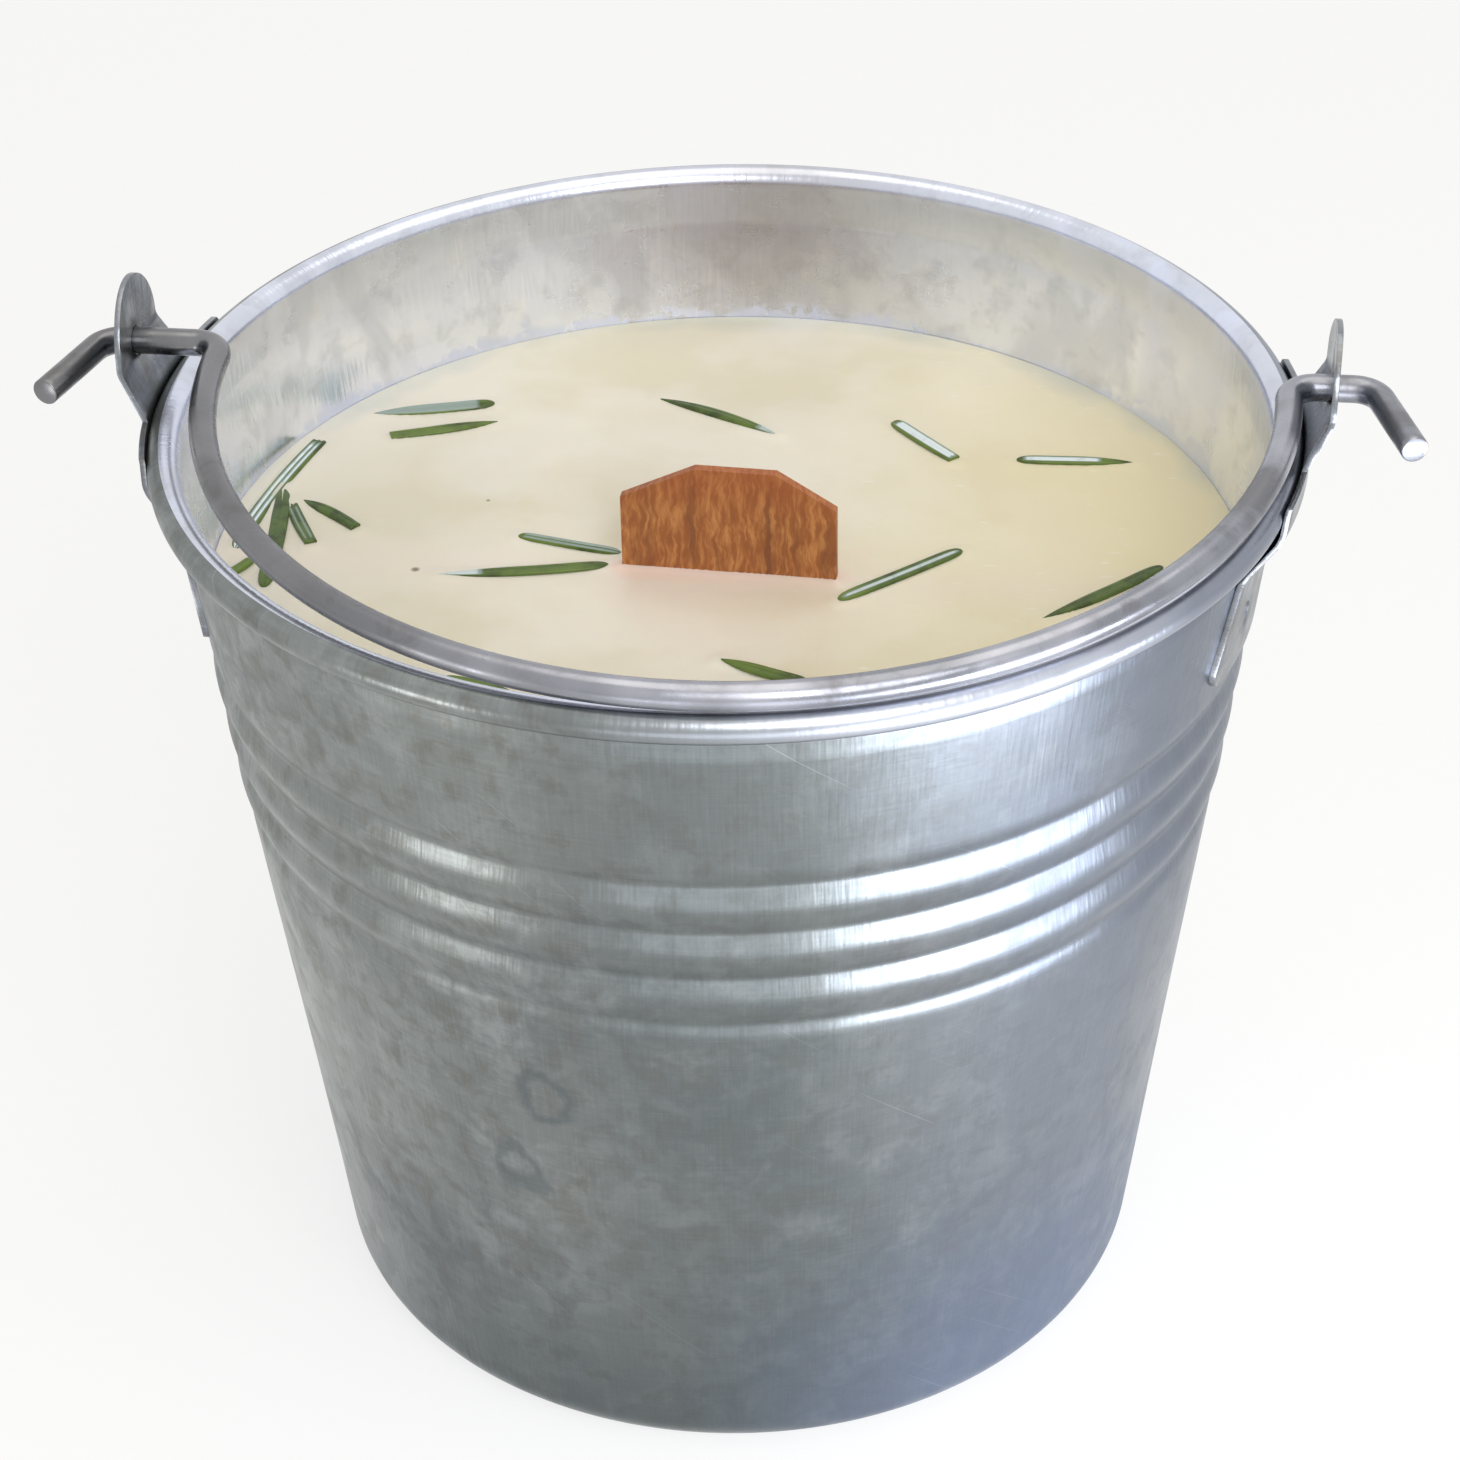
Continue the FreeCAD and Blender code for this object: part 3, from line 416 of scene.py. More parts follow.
def inside_material(finishes, sizes):
    """The inside wall: satin zinc painted near-white for its bright reflections, greyer to the rim, a
    crystal line at the wax.

    Soft lavender and white clouds 12 mm wide, drawn out upward, lie over it with a few grey
    streaky ones; these are painted reflections. A brownish patch behind the wick is a painted
    reflection of the wick. A band of coarse bluish crystals 1 to 3 mm high stands where
    the hot wax wetted the sheet.
    """
    # painted light: near-white colours for the inside's bright reflections
    material, tree, shader, place, shade = zinc_material(
        "Galvanised sheet, inside", finishes.inside, linear("#d8dcea"), linear("#fbfcff"), 0.2, 0.5)
    drawn_up = add(tree, "ShaderNodeMapping", {"Vector": place, "Scale": (1.0, 1.0, 0.5)}).outputs[0]
    patches = add(tree, "ShaderNodeTexNoise", {
        "Vector": drawn_up, "Scale": per_mm(12), "Detail": 4.0, "Roughness": 0.5,
        "Distortion": 0.5}).outputs["Fac"]
    crystals = add(tree, "ShaderNodeTexVoronoi", {
        "Vector": place, "Scale": per_mm(1.3)}, distance="MANHATTAN")
    crystal = add(tree, "ShaderNodeSeparateColor", {0: crystals.outputs["Color"]}).outputs[0]
    height = add(tree, "ShaderNodeSeparateXYZ", {0: place}).outputs["Z"]
    level = sizes.rim_height - sizes.wax_drop
    climbed = weighted(tree, height, (patches, 8 * MM))
    edge = weighted(tree, height, (crystal, -1.6 * MM), (patches, -5 * MM))
    # where the wick's reflection is painted on the wall
    wick_reflection_spot = (-3 * MM, 49 * MM, level + 7.6 * MM)
    shade = painted(
        tree, shade,
        ("#b3b9c8", (climbed, level + 11 * MM, level + 18 * MM, 0.0, 0.5)),
        # painted reflections: soft whiter and greyer clouds, drawn out upward
        ("#e3e8fd", (patches, 0.52, 0.62, 0.0, 0.5)),
        ("#bcbfcb", (patches, 0.46, 0.38, 0.0, 0.4)),
        # painted reflection of the wick: a brownish patch behind it
        ("#8f857f", away_from(tree, place, wick_reflection_spot, 3, 22, 0.5)),
        ("#dbe2fa", (edge, level - 2.5 * MM, level - 1.7 * MM, 0.85, 0.0)),
    )
    wired(tree, shader, {"Base Color": shade, "Metallic": 0.85})
    return material


def wire_material(finishes, bail):
    """Drawn galvanised wire: satin grey zinc, rubbed bright in streaks, dull and dark between.

    It is painted darker to the left as shade, and the tip of the right hook's sheared end has a painted
    warm highlight.
    """
    material, tree, shader, place = new_material("Drawn galvanised wire")
    wear = add(tree, "ShaderNodeTexNoise", {
        "Vector": place, "Scale": per_mm(5), "Detail": 6.0, "Roughness": 0.65,
        "Distortion": 0.5}).outputs["Fac"]
    rubbed = add(tree, "ShaderNodeTexNoise", {
        "Vector": place, "Scale": per_mm(14), "Detail": 2.0}).outputs["Fac"]
    pits = add(tree, "ShaderNodeTexNoise", {
        "Vector": place, "Scale": per_mm(0.7), "Detail": 3.0}).outputs["Fac"]
    across = add(tree, "ShaderNodeSeparateXYZ", {0: place}).outputs["X"]
    shade = painted(
        tree, finishes.wire,
        ("#6c6a6b", (wear, 0.48, 0.62, 0.0, 0.6)),
        ("#b8b9c2", (rubbed, 0.46, 0.62, 0.0, 0.6)),
        # painted shade: darker to the left
        ("#615f5b", (across, -32 * MM, 2 * MM, 0.6, 0.0)),
        # painted warm highlight on the tip of the right hook's sheared end
        ("#e6cfc4", (across, bail.cross_half + 6.35 * MM, bail.cross_half + 6.7 * MM, 0.0, 1.0)),
    )
    bump = add(tree, "ShaderNodeBump", {"Strength": 0.35, "Distance": 0.03 * MM, "Height": pits})
    wired(tree, shader, {
        "Base Color": shade,
        "Metallic": 1.0,
        "Roughness": share_of(tree, (wear, 0.35, 0.65, 0.2, 0.42)),
        "Normal": bump.outputs[0],
    })
    return material


def wax_material(finishes, sizes):
    """Poured soy wax: matt cream with cloudy patches, frost dashes and two specks of spice.

    Light passes a millimetre or two into it, which softens its edges at the wall and the wick.
    """
    material, tree, shader, place = new_material("Poured soy wax")
    level = sizes.rim_height - sizes.wax_drop
    swirl = add(tree, "ShaderNodeTexNoise", {
        "Vector": place, "Scale": per_mm(12), "Detail": 3.0}).outputs
    poured = stirred(tree, place, swirl["Color"], 9)
    clouds = add(tree, "ShaderNodeTexNoise", {
        "Vector": poured, "Scale": per_mm(17), "Detail": 4.0, "Roughness": 0.5}).outputs["Fac"]
    across = add(tree, "ShaderNodeSeparateXYZ", {0: poured}).outputs["X"]
    true_across, true_back = add(tree, "ShaderNodeSeparateXYZ", {0: place}).outputs[:2]
    ends = off_from(tree, true_across, sizes.wick_across)
    faces = off_from(tree, true_back, -sizes.wick_forward)
    half_wick = sizes.wick_width / 2
    past_end = share_of(tree, (ends, half_wick, half_wick + 4 * MM, 0.0, 4 * MM))
    halo = weighted(tree, past_end, (faces, 1.0))
    frost = drawn_out(tree, place, (2.8, 0.5, EVEN), 1.0, turn=9)
    dashes = share_of(tree, (frost, 0.71, 0.79, 0.0, 1.0), (across, 8 * MM, 20 * MM, 0.1, 0.8))
    flat_place = add(tree, "ShaderNodeMapping", {"Vector": place, "Scale": (1.0, 1.0, 0.0)}).outputs[0]
    radius = add(tree, "ShaderNodeVectorMath", {0: flat_place}, operation="LENGTH").outputs["Value"]
    near_wall = weighted(tree, radius, (swirl["Fac"], 9 * MM))
    specks = [("#6d5f45", away_from(tree, place, (x * MM, y * MM, level), speck, 2.6 * speck, 0.85))
              for x, y, speck in SPICE_SPECKS]
    shade = painted(
        tree, finishes.wax,
        (finishes.wax_pale, (clouds, 0.40, 0.62, 0.0, 1.0)),
        ("#dcd4b2", (clouds, 0.47, 0.35, 0.0, 0.35)),
        # painted light: yellower and lighter to the right
        (finishes.wax_painted_light, (across, 8 * MM, 46 * MM, 0.0, 0.9)),
        # painted shade: greyer to the left
        ("#d6d0be", (across, -14 * MM, -38 * MM, 0.0, 0.6)),
        ("#efebe4", away_from(tree, poured, (-21 * MM, 19 * MM, level), 1, 9, 0.75)),
        ("#efe0d4", (halo, 2 * MM, 9 * MM, 0.45, 0.0)),
        ("#f0cfc0", (halo, 0.7 * MM, 2.2 * MM, 0.6, 0.0)),
        ("#f7f3e8", dashes),
        ("#b3bcbb", (near_wall, 50.5 * MM, 53.5 * MM, 0.0, 1.0), (true_back, 0.0, 26 * MM, 0.0, 0.45)),
        *specks,
    )
    grain = add(tree, "ShaderNodeTexNoise", {
        "Vector": place, "Scale": per_mm(1.6), "Detail": 4.0}).outputs["Fac"]
    relief = weighted(tree, grain, (dashes, 0.8), (clouds, 2.0))
    bump = add(tree, "ShaderNodeBump", {"Strength": 0.3, "Distance": 0.06 * MM, "Height": relief})
    wired(tree, shader, {
        "Base Color": shade,
        "Roughness": 0.4,
        "IOR": 1.44,
        "Subsurface Weight": 0.3,
        "Subsurface Radius": (1.0, 0.8, 0.5),
        "Subsurface Scale": 1.2 * MM,
        "Normal": bump.outputs[0],
    })
    return material


def cherry_material(finishes, sizes):
    """Planed cherry veneer: warm red-brown, dark upright pores, short wavy silken figure.

    It is redder towards its top edge.
    """
    material, tree, shader, place = new_material("Planed cherry veneer")
    swirl = add(tree, "ShaderNodeTexNoise", {"Vector": place, "Scale": per_mm(2.4), "Detail": 2.0})
    wavy_place = stirred(tree, place, swirl.outputs["Color"], 1.3)
    figure = drawn_out(tree, wavy_place, (0.45, 2.0, 2.2), 3.0, 0.6)
    veins = drawn_out(tree, wavy_place, (1.5, 3.0, 22), 5.0, 0.65)
    height = add(tree, "ShaderNodeSeparateXYZ", {0: place}).outputs["Z"]
    top = sizes.rim_height - WICK_DROP
    shade = painted(
        tree, finishes.cherry,
        ("#c98a4e", (figure, 0.45, 0.68, 0.0, 0.85)),
        ("#8a4f27", (figure, 0.48, 0.32, 0.0, 0.6)),
        (finishes.cherry_dark, (veins, 0.54, 0.68, 0.0, 0.85)),
        ("#a8542a", (height, top - 5 * MM, top, 0.0, 0.45)),
    )
    relief = weighted(tree, figure, (veins, -1.0))
    bump = add(tree, "ShaderNodeBump", {"Strength": 0.35, "Distance": 0.06 * MM, "Height": relief})
    wired(tree, shader, {"Base Color": shade, "Roughness": 0.55, "Normal": bump.outputs[0]})
    return material


def leaf_material(finishes):
    """Rosemary leaf: leathery green, with silver felt where its underside shows.

    The green is waxy and mottled, browner at dry spots. The felt is read from the needle's own
    attribute: none is green, half is the grey-green bloom and full is bright silver down.
    """
    material, tree, shader, place = new_material("Rosemary leaf")
    mottle = add(tree, "ShaderNodeTexNoise", {
        "Vector": place, "Scale": per_mm(1.4), "Detail": 4.0, "Roughness": 0.6}).outputs["Fac"]
    tint = add(tree, "ShaderNodeTexNoise", {
        "Vector": place, "Scale": per_mm(8), "Detail": 2.0}).outputs["Fac"]
    felt = add(tree, "ShaderNodeAttribute", attribute_name="felt").outputs["Fac"]
    worn = share_of(tree, felt, (mottle, 0.3, 0.5, 0.85, 1.0))
    shade = painted(
        tree, finishes.leaf,
        (finishes.leaf_edge, (mottle, 0.56, 0.38, 0.0, 1.0)),
        ("#6c8238", (tint, 0.44, 0.6, 0.0, 0.75)),
        (finishes.felt, (worn, 0.1, 0.5, 0.0, 1.0)),
        ("#e4eef0", (worn, 0.62, 0.95, 0.0, 1.0)),
    )
    bump = add(tree, "ShaderNodeBump", {"Strength": 0.4, "Distance": 0.05 * MM, "Height": mottle})
    wired(tree, shader, {
        "Base Color": shade,
        "Roughness": share_of(tree, (worn, 0.1, 0.6, 0.38, 0.6)),
        "Specular IOR Level": 0.3,
        "Coat Weight": 0.08,
        "Coat Roughness": 0.2,
        "Normal": bump.outputs[0],
    })
    return material


def foam_material(finishes):
    """Closed-cell foam tape: off-white with fine pores."""
    material, tree, shader, place = new_material("Adhesive foam")
    pores = add(tree, "ShaderNodeTexNoise", {"Vector": place, "Scale": per_mm(0.6), "Detail": 2.0})
    shade = painted(tree, linear("#c9c6bd"), (finishes.foam, (pores.outputs["Fac"], 0.35, 0.6, 0.0, 1.0)))
    wired(tree, shader, {"Base Color": shade, "Roughness": 0.8})
    return material



def piece_of(name, points, body, replaced):
    """A surface from points[row, column], closed across its columns, its two ends drawn to a point.

    Each face joins two neighbours of one row to the same two of the next row. Each end gets one
    middle vertex, the mean of its row, and a fan of triangles.
    """
    rows, columns = points.shape[:2]
    index = np.arange(rows * columns).reshape(rows, columns)
    around = np.concatenate([index, index[:, :1]], axis=1)
    quads = np.stack([around[:-1, :-1], around[:-1, 1:], around[1:, 1:], around[1:, :-1]], axis=-1)
    first = np.full(columns, rows * columns)
    start_fan = np.stack([first, around[0, 1:], around[0, :-1]], axis=-1)
    end_fan = np.stack([first + 1, around[-1, :-1], around[-1, 1:]], axis=-1)
    ends = [points[:1].mean(axis=1), points[-1:].mean(axis=1)]
    vertices = np.concatenate([points.reshape(-1, 3), *ends])
    mesh = bpy.data.meshes.new(name)
    mesh.from_pydata(vertices.tolist(), [], quads.reshape(-1, 4).tolist() + start_fan.tolist()
                     + end_fan.tolist())
    mesh.shade_smooth()
    made = bpy.data.objects.new(name, mesh)
    bpy.context.scene.collection.objects.link(made)
    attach(made, body)
    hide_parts(replaced)
    return made


def turned_points(radii, heights, columns):
    """Rows of points on circles: x = r cos a, y = r sin a, z = height, one row per profile point."""
    angles = np.linspace(0, 2 * np.pi, columns, endpoint=False)
    across = radii[:, None] * np.cos(angles)
    back = radii[:, None] * np.sin(angles)
    return np.stack([across, back, np.repeat(heights[:, None], columns, axis=1)], axis=-1)


def wall_slope(sizes):
    """How far the wall goes out for each metre up."""
    return (sizes.top_radius - sizes.base_radius) / sizes.rim_height


def wall_radius(sizes, heights):
    """Outside of the leaning wall, with its three pressed rings.

    Across its pitch each ring is the mean of the sine wave (1 - cos 2 pi t) / 2 and the
    parabola 1 - (2t - 1)^2, so that the valleys are narrower than the rings. Above and below
    the rings the wall eases out of the last valley by the bell curve exp(-(distance / 0.2 pitch)^2).
    """
    plain = sizes.base_radius + wall_slope(sizes) * heights
    drop = (sizes.rim_height - heights - sizes.rings_drop) / sizes.ring_pitch
    across_ring = 2 * (drop - np.floor(drop)) - 1
    wave = (1 - np.cos(2 * np.pi * drop)) / 4 + (1 - across_ring ** 2) / 2
    outside = np.maximum(-drop, drop - RING_COUNT)
    bell_width = 0.2
    eased = np.exp(-(np.maximum(outside, 0) / bell_width) ** 2)
    pressed = np.where(outside < 0, sizes.ring_depth * wave - sizes.ring_sink, -sizes.ring_sink * eased)
    return plain + pressed


def arc(middle_x, middle_y, radius, start, end, count):
    """Points on an arc, angles in degrees from +X."""
    turn = np.radians(np.linspace(start, end, count))
    return middle_x + radius * np.cos(turn), middle_y + radius * np.sin(turn)


def joined(*runs):
    """Several (x, y) runs as one pair of arrays."""
    return (np.concatenate([np.atleast_1d(run[0]) for run in runs]),
            np.concatenate([np.atleast_1d(run[1]) for run in runs]))


def wall_run(sizes, inset, rows):
    """The corner bend and the wall up to the crease, moved in by inset: radii and heights.

    The pressed rings take the given number of rows, the bend and the plain wall a few.
    """
    corner_rows, low_rows, high_rows = 12, 20, 8
    above_bend, below_crease = 0.4 * MM, 0.3 * MM
    lean = math.atan(wall_slope(sizes))
    bend = sizes.corner - inset
    middle = sizes.base_radius - sizes.corner * (1 - math.sin(lean)) / math.cos(lean)
    corner = arc(middle, sizes.corner, bend, -90, -math.degrees(lean), corner_rows)
    low = corner[1][-1] + above_bend
    high = sizes.rim_height - sizes.neck - below_crease
    rings_top = sizes.rim_height - sizes.rings_drop
    rings_low = rings_top - RING_COUNT * sizes.ring_pitch
    margin = 0.6 * sizes.ring_pitch
    heights = np.concatenate([
        np.linspace(low, rings_low - margin, low_rows)[:-1],
        np.linspace(rings_low - margin, rings_top + margin, rows),
        np.linspace(rings_top + margin, high, high_rows)[1:]])
    return joined(corner, (wall_radius(sizes, heights) - inset / math.cos(lean), heights))


def shell_profile(sizes):
    """The shell's closed section from the axis below, round the rim, to the axis above.

    Gives back its radii and heights, and the row from which faces belong to the inside.
    """
    rim, gauge, bead = sizes.rim_height, sizes.gauge, sizes.bead
    neck_rows, curl_rows, bead_rows, outer_rows, inner_rows = 8, 22, 36, 100, 64
    outside_bead_rows = 22
    near_axis = 0.5 * MM
    thicker = 0.2 * MM
    neck_out = sizes.base_radius + wall_slope(sizes) * (rim - sizes.neck)
    neck_in = neck_out - gauge
    middle = neck_in + bead
    slope = sizes.floor_radius + sizes.floor_rise
    below = ([near_axis, 12 * MM, 22 * MM, sizes.floor_radius, slope],
             [sizes.floor_rise] * 4 + [0.0])
    neck_heights = np.linspace(rim - sizes.neck, rim - 0.4 * MM, neck_rows)
    outer_neck = (np.full(neck_rows, neck_out), neck_heights)
    under_curl = arc(middle, rim, bead - gauge, 180, CURL_END, curl_rows)
    over_curl = arc(middle, rim, bead, CURL_END, 180, bead_rows)
    inner_neck = (np.full(neck_rows, neck_in), neck_heights[::-1])
    inner_x, inner_z = wall_run(sizes, gauge, inner_rows)
    above = ([slope + thicker, sizes.floor_radius + thicker, 20 * MM, near_axis],
             [gauge] + [sizes.floor_rise + gauge] * 3)
    outside = joined(below, wall_run(sizes, 0.0, outer_rows), outer_neck, under_curl)
    inside = joined(over_curl, inner_neck, (inner_x[::-1], inner_z[::-1]), above)
    return joined(outside, inside), len(outside[0]) + outside_bead_rows


def dented(points, sizes):
    """Push the wall in and out by a sum of slow waves round and up it, as hand dents do.

    The dents fade out towards the base, and the floor has none.
    """
    wave_height, fade_height, least_radius = 30 * MM, 12 * MM, 38 * MM
    angle = np.arctan2(points[..., 1], points[..., 0])
    radius = np.hypot(points[..., 0], points[..., 1])
    up = points[..., 2] / wave_height
    waves = (np.sin(3 * angle + 1.3 * up) + 0.6 * np.sin(5 * angle - 2.1 * up + 1.0)
             + 0.4 * np.sin(9 * angle + 3.3 * up + 2.0))
    fade = np.clip(points[..., 2] / fade_height, 0, 1) * (radius > least_radius)
    share = 1 + sizes.dent * waves * fade / np.maximum(radius, 1 * MM)
    points[..., 0] *= share
    points[..., 1] *= share
    return points


def turned_to(across, back, turn):
    """Two offsets along and off a line that is turned from +X: x cos a + y sin a, y cos a - x sin a."""
    return (across * math.cos(turn) + back * math.sin(turn),
            back * math.cos(turn) - across * math.sin(turn))


def wax_top(sizes, across, back, radius, edge):
    """Height of the wax: a rise at the wall, one round the wick and one round each leaf.

    Each rise falls off as exp(-distance / width). Slow sine waves stand in for the uneven set.
    """
    wall_fall, wick_fall, leaf_fall = 0.55 * MM, 0.9 * MM, 0.4 * MM
    wick_rise, leaf_rise, wave_rise = 0.7 * MM, 0.22 * MM, 0.05 * MM
    half_thick = 0.5 * MM
    level = np.full(across.shape, sizes.rim_height - sizes.wax_drop)
    level += sizes.meniscus * np.exp(-(edge - radius) / wall_fall)
    along, off = turned_to(across - sizes.wick_across, back + sizes.wick_forward, sizes.wick_turn)
    past_end = np.maximum(np.abs(along) - sizes.wick_width / 2, 0)
    past_face = np.maximum(np.abs(off) - half_thick, 0)
    level += wick_rise * np.exp(-np.hypot(past_end, past_face) / wick_fall)
    for leaf in leaf_rows():
        along, off = turned_to(across - leaf["across"], back - leaf["back"], leaf["turn"])
        past = np.hypot(np.maximum(np.abs(along) - leaf["length"] / 2, 0), off)
        level += leaf_rise * np.exp(-np.maximum(past - leaf["width"] / 2, 0) / leaf_fall)
    waves = np.sin(across / (7 * MM) + 1) * np.sin(back / (9 * MM)) + np.sin((across - back) / (5 * MM))
    return level + wave_rise * waves * np.clip((edge - radius) / (4 * MM), 0, 1)


def leaf_rows():
    """Place and size of each leaf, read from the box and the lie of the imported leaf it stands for."""
    rows = []
    for number, look in enumerate(LEAF_LOOKS, start=1):
        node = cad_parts["rosemary_leaf_%02d" % number]
        spots = np.empty(len(node.data.vertices) * 3)
        node.data.vertices.foreach_get("co", spots)
        spots = spots.reshape(-1, 3)[:, :2]
        centre = (spots.max(axis=0) + spots.min(axis=0)) / 2
        along = np.linalg.eigh(np.cov((spots - centre).T))[1][:, -1]
        along *= 1 if along[0] >= 0 else -1
        reach = (spots - centre) @ along
        middle = centre + along * (reach.max() + reach.min()) / 2
        rows.append({
            "name": node.name,
            "across": middle[0],
            "back": middle[1],
            "turn": math.atan2(along[1], along[0]),
            "length": reach.max() - reach.min(),
            "ends": look[:2],
            "bow": look[2] * MM,
            "width": look[3] * MM,
            "felt_along": look[4],
            "felt_across": look[5],
            "silver": look[6],
            "turned_over": look[4] is not None and look[4][1] - look[4][0] > 0.5,
        })
    return rows


class BUCKET_OT_shell(bpy.types.Operator):
    """Build the drawn bucket: one sheet from base to rolled rim."""

    bl_idname = "bucket_candle.shell"
    bl_label = "Drawn bucket"

    def execute(self, context):
        sizes = context.scene.bucket_sizes
        finishes = context.scene.bucket_finishes
        (radii, heights), inner_row = shell_profile(sizes)
        points = dented(turned_points(radii, heights, sizes.columns), sizes)
        shell = piece_of("drawn_shell", points, "bucket", "bucket_body")
        shell.data.materials.append(outside_material(finishes, sizes))
        shell.data.materials.append(inside_material(finishes, sizes))
        face_rows = np.arange(len(shell.data.polygons)) // sizes.columns
        face_rows = np.where(face_rows >= len(radii) - 1, 0, face_rows)
        shell.data.polygons.foreach_set("material_index", (face_rows > inner_row).astype(np.int32))
        return {"FINISHED"}


class BUCKET_OT_wax(bpy.types.Operator):
    """Pour the wax, with its rises at the wall, the wick and the leaves."""

    bl_idname = "bucket_candle.wax"
    bl_label = "Poured wax"

    def execute(self, context):
        sizes = context.scene.bucket_sizes
        level = sizes.rim_height - sizes.wax_drop
        rows_by_rings = 64
        wall_rows = 24
        step = 0.4 * MM
        radii, heights = wall_run(sizes, sizes.gauge + FLUSH, rows_by_rings)
        below = heights < level + sizes.meniscus
        radii, heights = radii[below], heights[below]
        edge = radii[-1]
        low = ([0.5 * MM, 20 * MM, sizes.floor_radius, sizes.floor_radius + sizes.floor_rise],
               [sizes.floor_rise + sizes.gauge] * 3 + [sizes.gauge + FLUSH])
        near_wall = edge - np.geomspace(FLUSH, 3 * MM, wall_rows)
        over = np.concatenate([near_wall, np.arange(edge - 3.4 * MM, step, -step)])
        side_x, side_z = joined(low, (radii, heights))
        points = turned_points(np.concatenate([side_x, over]),
                               np.concatenate([side_z, np.full(len(over), level)]), sizes.columns)
        top = points[len(side_x) - 1:]
        distance = np.hypot(top[..., 0], top[..., 1])
        top[..., 2] = wax_top(sizes, top[..., 0], top[..., 1], distance, edge)
        wax = piece_of("poured_wax", points, "bucket", "wax_fill")
        wax.data.materials.append(wax_material(context.scene.bucket_finishes, sizes))
        return {"FINISHED"}


class BUCKET_OT_wick(bpy.types.Operator):
    """Finish the wooden wick, its clip and its pad."""

    bl_idname = "bucket_candle.wick"
    bl_label = "Wooden wick"

    def execute(self, context):
        finishes = context.scene.bucket_finishes
        tin = zinc_material("Tinplate", finishes.tin, linear("#9ea1a4"), linear("#cfd2d4"), 0.15)[0]
        materials = {
            "wooden_wick": cherry_material(finishes, context.scene.bucket_sizes),
            "wick_clip": tin,
            "adhesive_pad": foam_material(finishes),
        }
        for name, material in materials.items():
            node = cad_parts[name]
            node.data.materials.clear()
            node.data.materials.append(material)
        return {"FINISHED"}


class BUCKET_OT_leaves(bpy.types.Operator):
    """Scatter the rosemary leaves on the wax."""

    bl_idname = "bucket_candle.leaves"
    bl_label = "Rosemary leaves"

    def execute(self, context):
        sizes = context.scene.bucket_sizes
        material = leaf_material(context.scene.bucket_finishes)
        level = sizes.rim_height - sizes.wax_drop
        for leaf in leaf_rows():
            points, felt = leaf_points(leaf, level)
            made = piece_of(leaf["name"] + "_needle", points, "bucket", leaf["name"])
            made.data.materials.append(material)
            shares = np.concatenate([felt.ravel(), felt[:1].mean(axis=1), felt[-1:].mean(axis=1)])
            layer = made.data.attributes.new("felt", "FLOAT", "POINT")
            layer.data.foreach_set("value", shares.astype(np.float32))
        return {"FINISHED"}


def soft_band(value, low, high, ease):
    """1 between low and high and 0 outside, with a straight ramp of one width at both edges."""
    rise = np.clip((value - low) / ease + 0.5, 0, 1)
    fall = np.clip((high - value) / ease + 0.5, 0, 1)
    return rise * fall


def leaf_points(leaf, level):
    """A needle's points, and the share of silver felt at each.

    Half width along the leaf, s from 0 to 1, is W/2 times the square root of 1 - |2s - 1|^8.
    Each half is drawn in towards its end by 1 - taper p^2, where p runs from 0 in the middle to
    1 there, and a cut end keeps its full width instead. Round the section x = w cos a and
    z = h/2 (1 + sin a), less a groove on the upper side, and on the lower side a hollow between
    the rolled edges with the midrib in it. Groove and midrib are bell curves across the leaf.
    """
    rows, columns = 56, 28
    first_row = 0.004
    thickness = 0.72 * MM
    edge_ease, end_ease = 0.16, 0.05
    along = np.linspace(first_row, 1 - first_row, rows)[:, None]
    round_turn = np.linspace(0, 2 * np.pi, columns, endpoint=False)[None, :]
    towards = 2 * along - 1
    blunt = np.sqrt(np.maximum(1 - np.abs(towards) ** 8, 0.02))
    left, right = leaf["ends"]
    square_cut = np.where(towards < 0, left == "cut", right == "cut")
    taper = np.where(towards < 0, END_TAPERS[left], END_TAPERS[right])
    swell = np.where(square_cut, 1, blunt) * (1 - taper * towards ** 2)
    half = leaf["width"] / 2 * swell
    tall = thickness * (0.45 + 0.55 * swell)
    side = np.cos(round_turn)
    lower = np.sin(round_turn) < -0.05
    groove = 0.22 * tall * np.exp(-(side / 0.16) ** 2)
    midrib = 0.25 * tall * np.exp(-(side / 0.15) ** 2)
    hollow = 0.4 * tall * np.clip(1 - (side / 0.7) ** 2, 0, 1) - midrib
    up = tall / 2 * (1 + np.sin(round_turn)) + np.where(lower, hollow, -groove)
    off = half * side - leaf["bow"] * (1 - towards ** 2)
    felt = 0 * (along + side)
    if leaf["felt_along"]:
        shown = lower if leaf["turned_over"] else ~lower
        stretch = soft_band(along, *leaf["felt_along"], end_ease)
        band = soft_band(np.abs(side), leaf["felt_across"][0] or -1, leaf["felt_across"][1], edge_ease)
        felt = leaf["silver"] * stretch * band * shown
    if leaf["turned_over"]:
        up = tall - up
        off, up, felt = off[:, ::-1], up[:, ::-1], felt[:, ::-1]
    reach = (along - 0.5) * leaf["length"] + 0 * side
    across, back = turned_to(reach, off, -leaf["turn"])
    return np.stack([leaf["across"] + across, leaf["back"] + back, level - FLUSH + up], axis=-1), felt


